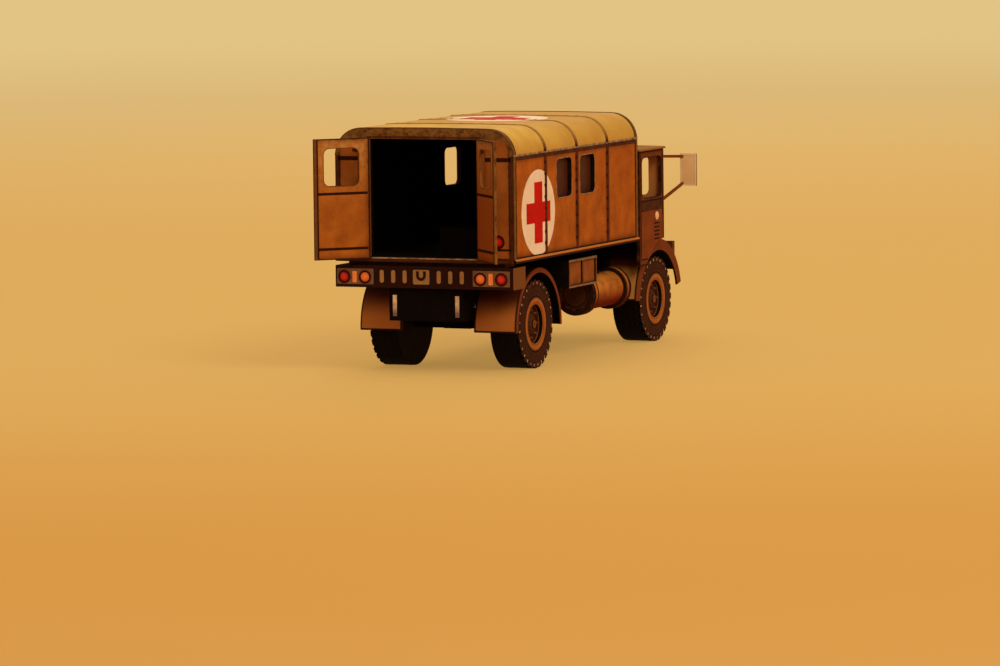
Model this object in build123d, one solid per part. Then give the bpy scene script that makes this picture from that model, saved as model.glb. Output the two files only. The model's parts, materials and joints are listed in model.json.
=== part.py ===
from build123d import *
from math import cos, pi, radians, sin
import os

# Printed card model of a three-ton, four-wheel-drive ambulance truck at 1:72, rear doors open.
# Sizes are millimetres. The pieces are drawn with X forward from the rear face of the body,
# Y to the truck's left and Z up from the table. save_pieces() then moves them all so that
# the origin lies on the table, under the middle of the whole model.

# Card thicknesses and clearances
BODY_WALL = 0.8  # laminated walls of the load body
CAB_WALL = 0.6  # laminated walls of the cab
SHEET = 0.35  # single folded card
DOOR_THICKNESS = 0.4
RUNNING_GAP = 0.1  # between a turning piece and what carries it
LOOSE_GAP = 0.3  # between neighbours that stay apart

# Wheels and axles
TYRE_RADIUS = 7.7
TYRE_WIDTH = 5.3
TYRE_OUTER_Y = 14.0  # outer face of a tyre from the middle of the truck
LUG_COUNT = 28
LUG_NICK_DEPTH = 0.35  # nick between two lugs, in the outermost layers of card
LUG_NICK_WIDTH = 0.7
LUG_NICK_LENGTH = 0.8
RIM_RADIUS = 4.7
RIM_DISH_RADIUS = 3.4
RIM_DISH_DEPTH = 1.5
HUB_RADIUS = 1.5
HUB_NOSE_LENGTH = 1.1
HUB_TAPER = 32.0  # degrees
HUB_SIDES = 12
STUB_RADIUS = 0.6
AXLE_BEAM = 1.9  # side of the square beam
DIFFERENTIAL = (4.4, 5.0, 3.4)  # length, width, height

# Wheel positions along the truck
REAR_OVERHANG = 15.3
WHEELBASE = 56.0

# Chassis
AXLE_TO_RAIL = 6.7  # from an axle's middle up to the foot of the rails
RAIL_HEIGHT = 4.8
RAIL_WIDTH = 1.2
RAIL_OUTER_Y = 6.8
CROSS_MEMBER_LENGTH = 1.2
CROSS_MEMBER_STATIONS = (0.0, 0.22, 0.42, 0.62, 0.82, 1.0)  # share of the way along the rails

# Leaf springs
SPRING_HALF_LENGTHS = (8.8, 6.4, 4.0)  # from the main leaf down
SPRING_LEAF = 0.4
SPRING_WIDTH = 1.0
SPRING_CAMBER = 2.2
HANGER_LENGTH = 1.2
SPRING_PAD_LENGTH = 2.2
SPRING_PAD_HEIGHT = 0.7

# Load body
BODY_WIDTH = 33.3
SHOULDER_RADIUS = 4.7
CROWN_RISE = 0.1
PANEL_COUNT = 4
SIDE_RAIL_HEIGHT = 0.75
SIDE_RAIL_DEPTH = 0.35
WINDOW_CORNER = 1.0
WINDOW_CORNER_CUTS = 3  # straight knife cuts round one corner
SIDE_WINDOW_SILL = 10.2  # above the foot of the body
SIDE_WINDOW_HEIGHT = 6.7
SIDE_WINDOW_HEAD = 1.4  # from a window's top to the eaves
RIGHT_WINDOW_WIDTH = 6.8
LEFT_WINDOW_WIDTH = 7.2
REAR_WINDOW_SHIFT = 1.3  # from the middle of its panel
MIDDLE_WINDOW_SHIFT = -2.3
FRONT_WINDOW_SHIFT = -0.7
BACKING_BORDER = 1.4
BENCH_START = 8.4
BENCH_LENGTH = 38.0
BENCH_INNER_Y = 0.8
BENCH_HEIGHT = 4.7

# Rear doors
JAMB_WIDTH = 6.65  # wall on each side of the door opening
HEAD_ABOVE_EAVES = 2.9
DOOR_LAP = 0.2  # how far a closed door covers the wall round the opening
DOOR_WINDOW_HEIGHT = 6.4
DOOR_WINDOW_FROM_HINGE = 1.9
DOOR_WINDOW_FROM_EDGE = 1.8
DOOR_WINDOW_FROM_TOP = 1.7
LEFT_DOOR_OPEN = 134.5  # degrees from shut
RIGHT_DOOR_OPEN = 130.6
HINGE_TAPE_WIDTH = 1.2  # beyond the fold line
HINGE_TAPE = 0.15

# Rear end
BUMPER_OVERHANG = 0.55
BUMPER_LENGTH = 5.35
BUMPER_HEIGHT = 3.75
BUMPER_DROP = 0.65  # from the foot of the body down to the bumper
PACKING_SETBACK = 1.2  # card packed between the bumper and the floor, behind the bumper's edges
TAIL_BOX_WIDTH = 13.8
TAIL_BOX_HEIGHT = 5.7
TAIL_BOX_LENGTH = 4.5
TAIL_BOX_SETBACK = 0.75

# Mudguards
GUARD_COVER = 0.7  # beyond the tyre's outer face
REAR_GUARD_LIP = 0.9
FRONT_GUARD_LIP = 2.0
GUARD_DROP = 0.4  # a mudguard's middle below the axle
REAR_GUARD_ENDS = 0.4  # both ends of a rear mudguard below its middle
REAR_GUARD_GAP = 2.2  # between tyre and mudguard
FRONT_GUARD_GAP = 3.25
FRONT_TAIL_LIFT = 0.9  # rear end of a front mudguard above its middle
FRONT_LIP_LIFT = 2.8  # front tip of a front mudguard's lip above its middle
FRONT_SHEET_LIFT = 5.2  # front end of its sheet, cut shorter than the lip

# Lockers and fuel tanks, alike on both sides
LOCKER_START = 26.5
LOCKER_LENGTH = 12.7
LOCKER_HEIGHT = 4.9
LOCKER_INSET = 0.95  # from the side of the body
LOCKER_DROP = 1.25  # from the foot of the body down to the lid
LOCKER_DOOR_BORDER = 0.45
LOCKER_DOOR_DEPTH = 0.25
TANK_RADIUS = 3.1
TANK_RIM = 0.65
TANK_RIM_LENGTH = 0.5
TANK_INSET = 5.35  # from the side of the body to the tank's middle
TANK_DROP = 8.35  # from the foot of the body to the tank's middle
TANK_GAP = 2.8  # from a tank's front end to the mudguard
STRAP_WIDTH = 1.7
STRAP_STATIONS = (0.04, 0.96)
BRACKET_LIFT = 5.0

# Cab
CAB_GAP = 2.5
CAB_LENGTH = 11.8
CAB_SETBACK = 0.5  # front of the cab behind the front axle
CAB_WIDTH = 32.0
CAB_ROOF_EDGE = 0.35
CAB_ROOF_CROWN = 0.5
CAB_ROOF_LIP = 0.35
CAB_SILL = 12.2  # above the foot of the cab sides
CAB_WINDOW_HEIGHT = 7.2
CAB_WINDOW_HEAD = 1.3  # from the windows' top to the roof
CAB_WINDOW_BORDER = 1.2
CAB_PILLAR = 2.7
CENTRE_PILLAR = 1.2
SEAT_LENGTH = 5.0
SEAT_HEIGHT = 3.6
SEAT_BACK_LENGTH = 1.1
SEAT_BACK_HEIGHT = 8.6
SEAT_SIDE_GAP = 1.5

# Bonnet and front end
BONNET_LENGTH = 10.7
BONNET_WIDTH = 16.4
BONNET_REAR_HEIGHT = 11.8  # above the foot of the rails
BONNET_FRONT_HEIGHT = 10.2
BONNET_CORNER = 1.5
GRILLE_THICKNESS = 0.6
SLOT_COUNT = 7
SLOT_WIDTH = 0.6
SLOT_PITCH = 1.2
SLOT_HEIGHT = 5.6
SLOT_BASE = 2.6
HEADLAMP_RADIUS = 1.3
HEADLAMP_LENGTH = 0.9
HEADLAMP_Y = 6.2
HEADLAMP_Z = 7.4  # above the foot of the rails
FRONT_BUMPER_WIDTH = 25.4
FRONT_BUMPER_HEIGHT = 3.4
FRONT_BUMPER_DROP = 0.5  # below the foot of the rails
FRONT_BUMPER_THICKNESS = 1.2
BUMPER_IRON_LENGTH = 0.9

# Mirrors
MIRROR_PLATE = (3.1, 5.8)  # width, height
MIRROR_REACH = 2.4  # from the cab's side
MIRROR_ABOVE_SILL = 1.6
MIRROR_FORWARD = 2.3  # ahead of the cab's front
MIRROR_ARM = 0.5
UPPER_ARM_ROOT = 7.0  # above the sill
LOWER_ARM_ROOT = -1.2

# Worked out from the sizes above
AXLE_Z = TYRE_RADIUS
GUARD_Z = AXLE_Z - GUARD_DROP
REAR_AXLE_X = REAR_OVERHANG
FRONT_AXLE_X = REAR_AXLE_X + WHEELBASE
CAB_FRONT_X = FRONT_AXLE_X - CAB_SETBACK
CAB_REAR_X = CAB_FRONT_X - CAB_LENGTH
BODY_LENGTH = CAB_REAR_X - CAB_GAP
RAIL_Z = AXLE_Z + AXLE_TO_RAIL
BODY_Z = RAIL_Z + RAIL_HEIGHT
FLOOR_TOP_Z = BODY_Z + BODY_WALL
SIDE_HEIGHT = SIDE_WINDOW_SILL + SIDE_WINDOW_HEIGHT + SIDE_WINDOW_HEAD
EAVES_Z = BODY_Z + SIDE_HEIGHT
HALF_BODY = BODY_WIDTH / 2
INNER_BODY = HALF_BODY - BODY_WALL
PANEL_LENGTH = BODY_LENGTH / PANEL_COUNT
HALF_OPENING = HALF_BODY - JAMB_WIDTH
OPENING_TOP_Z = EAVES_Z + HEAD_ABOVE_EAVES
HINGE_X = -HINGE_TAPE - RUNNING_GAP - DOOR_THICKNESS / 2
HINGE_Y = HALF_OPENING + DOOR_LAP
DOOR_WIDTH = HINGE_Y - RUNNING_GAP
DOOR_Z = FLOOR_TOP_Z - DOOR_LAP
DOOR_HEIGHT = OPENING_TOP_Z - FLOOR_TOP_Z + 2 * DOOR_LAP
RAIL_START_X = BUMPER_LENGTH - BUMPER_OVERHANG
NOSE_X = CAB_FRONT_X + BONNET_LENGTH
BUMPER_TOP_Z = BODY_Z - BUMPER_DROP
BUMPER_Z = BUMPER_TOP_Z - BUMPER_HEIGHT
GUARD_OUTER_Y = TYRE_OUTER_Y + GUARD_COVER
REAR_GUARD_RADIUS = TYRE_RADIUS + REAR_GUARD_GAP + SHEET
FRONT_GUARD_RADIUS = TYRE_RADIUS + FRONT_GUARD_GAP + SHEET
TANK_START_X = LOCKER_START + LOCKER_LENGTH + LOOSE_GAP
TANK_END_X = FRONT_AXLE_X - FRONT_GUARD_RADIUS - TANK_GAP
TANK_Y = HALF_BODY - TANK_INSET
TANK_Z = BODY_Z - TANK_DROP
LOCKER_OUTER_Y = HALF_BODY - LOCKER_INSET
CAB_Z = RAIL_Z
CAB_SILL_Z = CAB_Z + CAB_SILL
CAB_SIDE_HEIGHT = CAB_SILL + CAB_WINDOW_HEIGHT + CAB_WINDOW_HEAD
CAB_FLOOR_Z = BODY_Z
CAB_EAVES_Z = CAB_Z + CAB_SIDE_HEIGHT
HALF_CAB = CAB_WIDTH / 2
INNER_CAB = HALF_CAB - CAB_WALL
MIRROR_INNER_Y = HALF_CAB + MIRROR_REACH
MIRROR_BASE_Z = CAB_SILL_Z + MIRROR_ABOVE_SILL
BUMPER_FRONT_X = NOSE_X + GRILLE_THICKNESS + BUMPER_IRON_LENGTH + FRONT_BUMPER_THICKNESS


# Shapes that several pieces share


def block(x, y, z):
    """Block between low and high corners, each direction a (low, high) pair."""
    size = [high - low for low, high in (x, y, z)]
    middle = [(high + low) / 2 for low, high in (x, y, z)]
    return Pos(*middle) * Box(*size)


def slab_x(outline, low, high):
    """An outline in Y and Z as a slab from low to high along X."""
    return Pos(low, 0, 0) * extrude(Plane.YZ * outline, high - low, dir=(1, 0, 0))


def slab_y(outline, low, high):
    """An outline in X and Z as a slab from low to high along Y."""
    return Pos(0, low, 0) * extrude(Plane.XZ * outline, high - low, dir=(0, 1, 0))


def both_sides(right):
    """A right-hand piece and its left-hand mirror image."""
    return {"left": mirror(right, about=Plane.XZ), "right": right}


def knife_cut_window(width, height):
    """Outline of a window about its own middle, each corner rounded by a few short cuts."""
    points = []
    for corner, (sign_x, sign_y) in enumerate(((1, 1), (-1, 1), (-1, -1), (1, -1))):
        for cut in range(WINDOW_CORNER_CUTS + 1):
            turn = pi / 2 * (corner + cut / WINDOW_CORNER_CUTS)
            points.append(
                (
                    sign_x * (width / 2 - WINDOW_CORNER) + WINDOW_CORNER * cos(turn),
                    sign_y * (height / 2 - WINDOW_CORNER) + WINDOW_CORNER * sin(turn),
                )
            )
    return make_face(Polyline(*points, close=True))


# Load body


def arch(inset):
    """Cross-section of the load body, all of it drawn in by inset."""
    half = HALF_BODY - inset
    shoulder_y = HALF_BODY - SHOULDER_RADIUS
    shoulder_z = EAVES_Z + SHOULDER_RADIUS - inset
    right_arc = RadiusArc((half, EAVES_Z), (shoulder_y, shoulder_z), -(SHOULDER_RADIUS - inset))
    crown = ThreePointArc(
        (shoulder_y, shoulder_z), (0, shoulder_z + CROWN_RISE), (-shoulder_y, shoulder_z)
    )
    left_arc = RadiusArc((-shoulder_y, shoulder_z), (-half, EAVES_Z), -(SHOULDER_RADIUS - inset))
    walls = Polyline((-half, EAVES_Z), (-half, BODY_Z), (half, BODY_Z), (half, EAVES_Z))
    return make_face([right_arc, crown, left_arc, walls])


def above(level):
    """Half plane of Y and Z above a level, as a tall rectangle."""
    reach = 4 * BODY_WIDTH
    return Pos(0, level + reach / 2) * Rectangle(reach, reach)


def load_floor():
    """Floor between the side walls, on top of the chassis rails."""
    return block((0, BODY_LENGTH), (-INNER_BODY, INNER_BODY), (BODY_Z, FLOOR_TOP_Z))


def body_roof():
    """Roof sheet with its two rounded shoulders, standing on the side walls."""
    return slab_x((arch(0) - arch(BODY_WALL)) & above(EAVES_Z), 0, BODY_LENGTH)


# Side windows: panel counted from the rear, shift from the panel's middle, width
SIDE_WINDOWS = {
    "right": ((2, REAR_WINDOW_SHIFT, RIGHT_WINDOW_WIDTH), (3, MIDDLE_WINDOW_SHIFT, RIGHT_WINDOW_WIDTH)),
    "left": ((4, FRONT_WINDOW_SHIFT, LEFT_WINDOW_WIDTH),),
}


def window_middle_x(panel, shift):
    """Middle of a side window along the body."""
    return (panel - 0.5) * PANEL_LENGTH + shift


def body_side(side):
    """Side wall with its windows and the half-round rail along its foot."""
    window_z = BODY_Z + SIDE_WINDOW_SILL + SIDE_WINDOW_HEIGHT / 2
    wall = Pos(BODY_LENGTH / 2, (BODY_Z + EAVES_Z) / 2) * Rectangle(BODY_LENGTH, SIDE_HEIGHT)
    for panel, shift, width in SIDE_WINDOWS[side]:
        hole = knife_cut_window(width, SIDE_WINDOW_HEIGHT)
        wall -= Pos(window_middle_x(panel, shift), window_z) * hole
    rail = Pos(HALF_BODY, BODY_Z + SIDE_RAIL_HEIGHT / 2) * Ellipse(SIDE_RAIL_DEPTH, SIDE_RAIL_HEIGHT / 2)
    rail &= Pos(HALF_BODY + BODY_WALL / 2, BODY_Z) * Rectangle(BODY_WALL, SIDE_HEIGHT)
    left = slab_y(wall, INNER_BODY, HALF_BODY) + slab_x(rail, 0, BODY_LENGTH)
    return left if side == "left" else mirror(left, about=Plane.XZ)


def rear_wall():
    """Rear wall round the door opening, with the paper tape that each door's fold is glued by."""
    opening = Pos(0, (OPENING_TOP_Z + BODY_Z) / 2) * Rectangle(2 * HALF_OPENING, OPENING_TOP_Z - BODY_Z)
    wall = slab_x((arch(BODY_WALL) & above(FLOOR_TOP_Z)) - opening, 0, BODY_WALL)
    tape = block(
        (-HINGE_TAPE, 0),
        (-HINGE_Y - HINGE_TAPE_WIDTH, -HALF_OPENING),
        (FLOOR_TOP_Z, OPENING_TOP_Z),
    )
    return wall + list(both_sides(tape).values())


def front_bulkhead():
    """Blind wall that closes the load body behind the cab."""
    return slab_x(arch(BODY_WALL) & above(FLOOR_TOP_Z), BODY_LENGTH - BODY_WALL, BODY_LENGTH)


def window_backing():
    """Blind card glued inside the right wall behind its two windows."""
    middles = [(window_middle_x(panel, shift), width) for panel, shift, width in SIDE_WINDOWS["right"]]
    low_x = min(middle - width / 2 for middle, width in middles) - BACKING_BORDER
    high_x = max(middle + width / 2 for middle, width in middles) + BACKING_BORDER
    low_z = BODY_Z + SIDE_WINDOW_SILL - BACKING_BORDER
    high_z = low_z + SIDE_WINDOW_HEIGHT + 2 * BACKING_BORDER
    return block((low_x, high_x), (-INNER_BODY, SHEET - INNER_BODY), (low_z, high_z))


def inner_bench():
    """Low box bench along the right wall inside the load space."""
    return block(
        (BENCH_START, BENCH_START + BENCH_LENGTH),
        (-INNER_BODY, BENCH_INNER_Y),
        (FLOOR_TOP_Z, FLOOR_TOP_Z + BENCH_HEIGHT),
    )


def rear_door(open_angle):
    """Left door leaf at its open angle, its hinge edge rounded about the fold line."""
    middle_z = DOOR_HEIGHT / 2
    leaf = Pos(DOOR_WIDTH / 2, middle_z) * Rectangle(DOOR_WIDTH, DOOR_HEIGHT)
    window_width = DOOR_WIDTH - DOOR_WINDOW_FROM_HINGE - DOOR_WINDOW_FROM_EDGE
    window_x = DOOR_WINDOW_FROM_HINGE + window_width / 2
    window_z = DOOR_HEIGHT - DOOR_WINDOW_FROM_TOP - DOOR_WINDOW_HEIGHT / 2
    leaf -= Pos(window_x, window_z) * knife_cut_window(window_width, DOOR_WINDOW_HEIGHT)
    fold = Pos(0, 0, middle_z) * Cylinder(DOOR_THICKNESS / 2, DOOR_HEIGHT)
    door = slab_y(leaf, -DOOR_THICKNESS / 2, DOOR_THICKNESS / 2) + fold
    return Pos(HINGE_X, HINGE_Y, DOOR_Z) * Rot(0, 0, -90 - open_angle) * door


# Chassis, axles and springs


def chassis_rail():
    """Right-hand channel rail, open towards the middle of the truck."""
    web_y = RAIL_OUTER_Y - SHEET
    outside = block((RAIL_START_X, NOSE_X), (-RAIL_OUTER_Y, RAIL_WIDTH - RAIL_OUTER_Y), (RAIL_Z, BODY_Z))
    hollow = block((RAIL_START_X, NOSE_X), (-web_y, 0), (RAIL_Z + SHEET, BODY_Z - SHEET))
    return outside - hollow


def cross_members():
    """Cross members nested between the flanges of the two rails."""
    web_y = RAIL_OUTER_Y - SHEET
    reach = NOSE_X - RAIL_START_X - CROSS_MEMBER_LENGTH
    members = []
    for station in CROSS_MEMBER_STATIONS:
        start = RAIL_START_X + station * reach
        members.append(
            block((start, start + CROSS_MEMBER_LENGTH), (-web_y, web_y), (RAIL_Z + SHEET, BODY_Z - SHEET))
        )
    return Compound(children=members)


def axle(axle_x):
    """Square beam with its differential box and a round stub for each wheel."""
    half_beam = AXLE_BEAM / 2
    beam_end = TYRE_OUTER_Y - TYRE_WIDTH - LOOSE_GAP
    stub_end = TYRE_OUTER_Y - RIM_DISH_DEPTH - SHEET - 2 * RUNNING_GAP
    length, width, height = DIFFERENTIAL
    beam = block(
        (axle_x - half_beam, axle_x + half_beam),
        (-beam_end, beam_end),
        (AXLE_Z - half_beam, AXLE_Z + half_beam),
    )
    housing = block(
        (axle_x - length / 2, axle_x + length / 2),
        (-width / 2, width / 2),
        (AXLE_Z - half_beam, AXLE_Z - half_beam + height),
    )
    stubs = Pos(axle_x, 0, AXLE_Z) * Rot(90, 0, 0) * Cylinder(STUB_RADIUS, 2 * stub_end)
    return beam + chamfer(housing.edges().filter_by(Axis.Y), SHEET) + stubs


def leaf(half_length, top):
    """Outline in X and Z of one spring leaf, bowed down in the middle."""
    rise = SPRING_CAMBER * (half_length / SPRING_HALF_LENGTHS[0]) ** 2
    under = top - SPRING_LEAF
    upper = ThreePointArc((-half_length, top + rise), (0, top), (half_length, top + rise))
    lower = ThreePointArc((half_length, under + rise), (0, under), (-half_length, under + rise))
    ends = [
        Line((half_length, top + rise), (half_length, under + rise)),
        Line((-half_length, under + rise), (-half_length, top + rise)),
    ]
    return make_face([upper, lower, *ends])


def springs(axle_x):
    """The two leaf springs of one axle, with their hangers and pads."""
    pad_top = AXLE_Z + AXLE_BEAM / 2 + SPRING_PAD_HEIGHT
    main_top = pad_top + len(SPRING_HALF_LENGTHS) * SPRING_LEAF
    outline = Sketch()
    for number, half_length in enumerate(SPRING_HALF_LENGTHS):
        outline += leaf(half_length, main_top - number * SPRING_LEAF)
    pad = Pos(0, pad_top - SPRING_PAD_HEIGHT / 2 + SPRING_LEAF / 4)
    outline += pad * Rectangle(SPRING_PAD_LENGTH, SPRING_PAD_HEIGHT + SPRING_LEAF / 2)
    eye_z = main_top + SPRING_CAMBER - SPRING_LEAF
    hanger_x = SPRING_HALF_LENGTHS[0] - HANGER_LENGTH / 2
    for sign in (-1, 1):
        hanger = Rectangle(HANGER_LENGTH, RAIL_Z - eye_z)
        outline += Pos(sign * hanger_x, (RAIL_Z + eye_z) / 2) * hanger
    middle_y = RAIL_OUTER_Y - RAIL_WIDTH / 2
    right = slab_y(Pos(axle_x, 0) * outline, -middle_y - SPRING_WIDTH / 2, SPRING_WIDTH / 2 - middle_y)
    return Compound(children=list(both_sides(right).values()))


def propeller_shaft():
    """Rolled tube between the two differentials."""
    half_box = DIFFERENTIAL[0] / 2
    start, end = REAR_AXLE_X + half_box, FRONT_AXLE_X - half_box
    return Pos((start + end) / 2, 0, AXLE_Z + STUB_RADIUS) * Rot(0, 90, 0) * Cylinder(STUB_RADIUS, end - start)


# Wheels, drawn about the Y axis with their outer face towards -Y


def tread(lug_depth):
    """Outline of the tread, a short flat for each lug and for each gap between two lugs."""
    pitch = 2 * pi / LUG_COUNT
    half_lug = pitch / 2 - LUG_NICK_WIDTH / TYRE_RADIUS / 2
    root = TYRE_RADIUS - lug_depth
    # Corners of one lug: angle from its middle, radius
    corners = [(-half_lug, TYRE_RADIUS), (half_lug, TYRE_RADIUS)]
    if lug_depth:
        corners += [(half_lug, root), (pitch - half_lug, root)]
    points = [
        (radius * cos(number * pitch + turn), radius * sin(number * pitch + turn))
        for number in range(LUG_COUNT)
        for turn, radius in corners
    ]
    return make_face(Polyline(*points, close=True))


def tyre():
    """Laminated tyre, nicked between the lugs in its outermost layers of card."""
    outer, inner = -TYRE_OUTER_Y, TYRE_WIDTH - TYRE_OUTER_Y
    bore = Circle(RIM_RADIUS)
    nicked = slab_y(tread(LUG_NICK_DEPTH) - bore, outer, outer + LUG_NICK_LENGTH)
    return nicked + slab_y(tread(0) - bore, outer + LUG_NICK_LENGTH, inner)


def wheel_disc():
    """Dished rim with a faceted hub nose and a blind bore for the axle stub."""
    outer, inner = -TYRE_OUTER_Y, TYRE_WIDTH - TYRE_OUTER_Y
    dish = outer + RIM_DISH_DEPTH
    bore_end = dish + RUNNING_GAP
    bore = STUB_RADIUS + RUNNING_GAP
    section = make_face(
        Polyline(
            (0, dish),
            (RIM_DISH_RADIUS, dish),
            (RIM_DISH_RADIUS, outer),
            (RIM_RADIUS, outer),
            (RIM_RADIUS, inner),
            (bore, inner),
            (bore, bore_end + SHEET),
            (0, bore_end + SHEET),
            close=True,
        )
    )
    nose_foot = Plane.XZ.offset(-dish) * RegularPolygon(HUB_RADIUS, HUB_SIDES)
    nose = extrude(nose_foot, HUB_NOSE_LENGTH, dir=(0, -1, 0), taper=HUB_TAPER)
    return revolve(section, Axis.Y) + nose


# Body ends, mudguards and what hangs on the rails


def rear_bumper():
    """Box bumper across the full width, with the packing that it hangs from under the floor."""
    box = block((-BUMPER_OVERHANG, RAIL_START_X), (-HALF_BODY, HALF_BODY), (BUMPER_Z, BUMPER_TOP_Z))
    start = PACKING_SETBACK - BUMPER_OVERHANG
    half = INNER_BODY - PACKING_SETBACK
    return box + block((start, RAIL_START_X), (-half, half), (BUMPER_TOP_Z, BODY_Z))


def tail_box():
    """Shallow step box that hangs under the rear bumper."""
    start = TAIL_BOX_SETBACK - BUMPER_OVERHANG
    half = TAIL_BOX_WIDTH / 2
    return block((start, start + TAIL_BOX_LENGTH), (-half, half), (BUMPER_Z - TAIL_BOX_HEIGHT, BUMPER_Z))


def mudguard(axle_x, radius, inner_y, lip_width, tail_lift, sheet_lift, lip_lift):
    """Right-hand half-round mudguard with a flat lip round its outer edge."""
    def half_ring(inner_radius, nose_lift):
        ring = Circle(radius) - Circle(inner_radius)
        ring -= Pos(-radius, tail_lift - radius) * Rectangle(2 * radius, 2 * radius)
        return Pos(axle_x, GUARD_Z) * (
            ring - Pos(radius, nose_lift - radius) * Rectangle(2 * radius, 2 * radius)
        )

    sheet = slab_y(half_ring(radius - SHEET, sheet_lift), -GUARD_OUTER_Y, -inner_y)
    lip = slab_y(half_ring(radius - lip_width, lip_lift), -GUARD_OUTER_Y, SHEET - GUARD_OUTER_Y)
    return sheet + lip


def locker():
    """Right-hand tool locker with two sunk doors, its back against the rail."""
    top = BODY_Z - LOCKER_DROP
    box = block(
        (LOCKER_START, LOCKER_START + LOCKER_LENGTH),
        (-LOCKER_OUTER_Y, -RAIL_OUTER_Y),
        (top - LOCKER_HEIGHT, top),
    )
    door_length = (LOCKER_LENGTH - 3 * LOCKER_DOOR_BORDER) / 2
    for number in range(2):
        start = LOCKER_START + LOCKER_DOOR_BORDER + number * (door_length + LOCKER_DOOR_BORDER)
        box -= block(
            (start, start + door_length),
            (-LOCKER_OUTER_Y, LOCKER_DOOR_DEPTH - LOCKER_OUTER_Y),
            (top - LOCKER_HEIGHT + LOCKER_DOOR_BORDER, top - LOCKER_DOOR_BORDER),
        )
    return box


def fuel_tank():
    """Right-hand drum tank with a raised rim at each end."""
    length = TANK_END_X - TANK_START_X
    half, rim = length / 2, TANK_RADIUS + TANK_RIM
    section = make_face(
        Polyline(
            (-half, 0),
            (-half, rim),
            (TANK_RIM_LENGTH - half, rim),
            (TANK_RIM_LENGTH - half, TANK_RADIUS),
            (half - TANK_RIM_LENGTH, TANK_RADIUS),
            (half - TANK_RIM_LENGTH, rim),
            (half, rim),
            (half, 0),
            close=True,
        )
    )
    return Pos(TANK_START_X + half, -TANK_Y, TANK_Z) * revolve(section, Axis.X)


def tank_straps():
    """Two bands round the right-hand tank, each with its bracket to the rail."""
    plate_middle = (-(TANK_Y + RAIL_OUTER_Y) / 2, TANK_Z + BRACKET_LIFT / 2)
    plate = Pos(*plate_middle) * Rectangle(TANK_Y - RAIL_OUTER_Y, BRACKET_LIFT)
    at_tank = Pos(-TANK_Y, TANK_Z)
    outline = plate + at_tank * Circle(TANK_RADIUS + TANK_RIM) - at_tank * Circle(TANK_RADIUS)
    reach = TANK_END_X - TANK_START_X - STRAP_WIDTH
    starts = [TANK_START_X + station * reach for station in STRAP_STATIONS]
    return Compound(children=[slab_x(outline, start, start + STRAP_WIDTH) for start in starts])


# Cab


def cab_floor():
    """Floor between the cab sides, on the rails."""
    return block((CAB_REAR_X, CAB_FRONT_X), (-INNER_CAB, INNER_CAB), (CAB_FLOOR_Z, CAB_FLOOR_Z + CAB_WALL))


def cab_side():
    """Right-hand cab side with its window, cut away round the mudguard."""
    middle_x = (CAB_REAR_X + CAB_FRONT_X) / 2
    wall = Pos(middle_x, CAB_Z + CAB_SIDE_HEIGHT / 2) * Rectangle(CAB_LENGTH, CAB_SIDE_HEIGHT)
    window = knife_cut_window(CAB_LENGTH - 2 * CAB_WINDOW_BORDER, CAB_WINDOW_HEIGHT)
    wall -= Pos(middle_x, CAB_SILL_Z + CAB_WINDOW_HEIGHT / 2) * window
    wall -= Pos(FRONT_AXLE_X, GUARD_Z) * Circle(FRONT_GUARD_RADIUS + LOOSE_GAP)
    return slab_y(wall, -HALF_CAB, -INNER_CAB)


def cab_end(low_x, high_x):
    """Plain wall across the cab between its sides."""
    return block((low_x, high_x), (-INNER_CAB, INNER_CAB), (CAB_FLOOR_Z + CAB_WALL, CAB_EAVES_Z))


def cab_back():
    """Blind rear wall of the cab."""
    return cab_end(CAB_REAR_X, CAB_REAR_X + CAB_WALL)


def cab_front():
    """Scuttle and windscreen frame with two panes cut out."""
    pane_width = INNER_CAB + CAB_WALL - CAB_PILLAR - CENTRE_PILLAR / 2
    pane_y = (pane_width + CENTRE_PILLAR) / 2
    pane_z = CAB_SILL_Z + CAB_WINDOW_HEIGHT / 2
    panes = [
        Pos(sign * pane_y, pane_z) * knife_cut_window(pane_width, CAB_WINDOW_HEIGHT) for sign in (-1, 1)
    ]
    wall = cab_end(CAB_FRONT_X - CAB_WALL, CAB_FRONT_X)
    return wall - [slab_x(pane, CAB_FRONT_X - 2 * CAB_WALL, CAB_FRONT_X + CAB_WALL) for pane in panes]


def cab_roof():
    """Crowned cab roof with a small lip beyond the walls."""
    half, edge = HALF_CAB + CAB_ROOF_LIP, CAB_EAVES_Z + CAB_ROOF_EDGE
    crown = ThreePointArc((half, edge), (0, CAB_EAVES_Z + CAB_ROOF_CROWN), (-half, edge))
    foot = Polyline((-half, edge), (-half, CAB_EAVES_Z), (half, CAB_EAVES_Z), (half, edge))
    return slab_x(make_face([crown, foot]), CAB_REAR_X - CAB_ROOF_LIP, CAB_FRONT_X + CAB_ROOF_LIP)


def cab_seat():
    """Folded bench seat across the cab, its back against the rear wall."""
    start, floor_z = CAB_REAR_X + CAB_WALL, CAB_FLOOR_Z + CAB_WALL
    half = INNER_CAB - SEAT_SIDE_GAP
    cushion = block((start, start + SEAT_LENGTH), (-half, half), (floor_z, floor_z + SEAT_HEIGHT))
    back = block((start, start + SEAT_BACK_LENGTH), (-half, half), (floor_z, floor_z + SEAT_BACK_HEIGHT))
    return cushion + back


# Bonnet and front end


def bonnet_section(height):
    """Outer cross-section of the bonnet above the foot of the rails, its upper corners rounded."""
    outline = Pos(0, RAIL_Z + height / 2) * Rectangle(BONNET_WIDTH, height)
    return fillet(outline.vertices().group_by(Axis.Y)[-1], BONNET_CORNER)


def bonnet_hollow(height):
    """Cross-section of the room under the folded card, its upper corners cut straight."""
    room = height - CAB_WALL
    outline = Pos(0, RAIL_Z + room / 2) * Rectangle(BONNET_WIDTH - 2 * CAB_WALL, room)
    return chamfer(outline.vertices().group_by(Axis.Y)[-1], BONNET_CORNER / 2)


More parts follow.
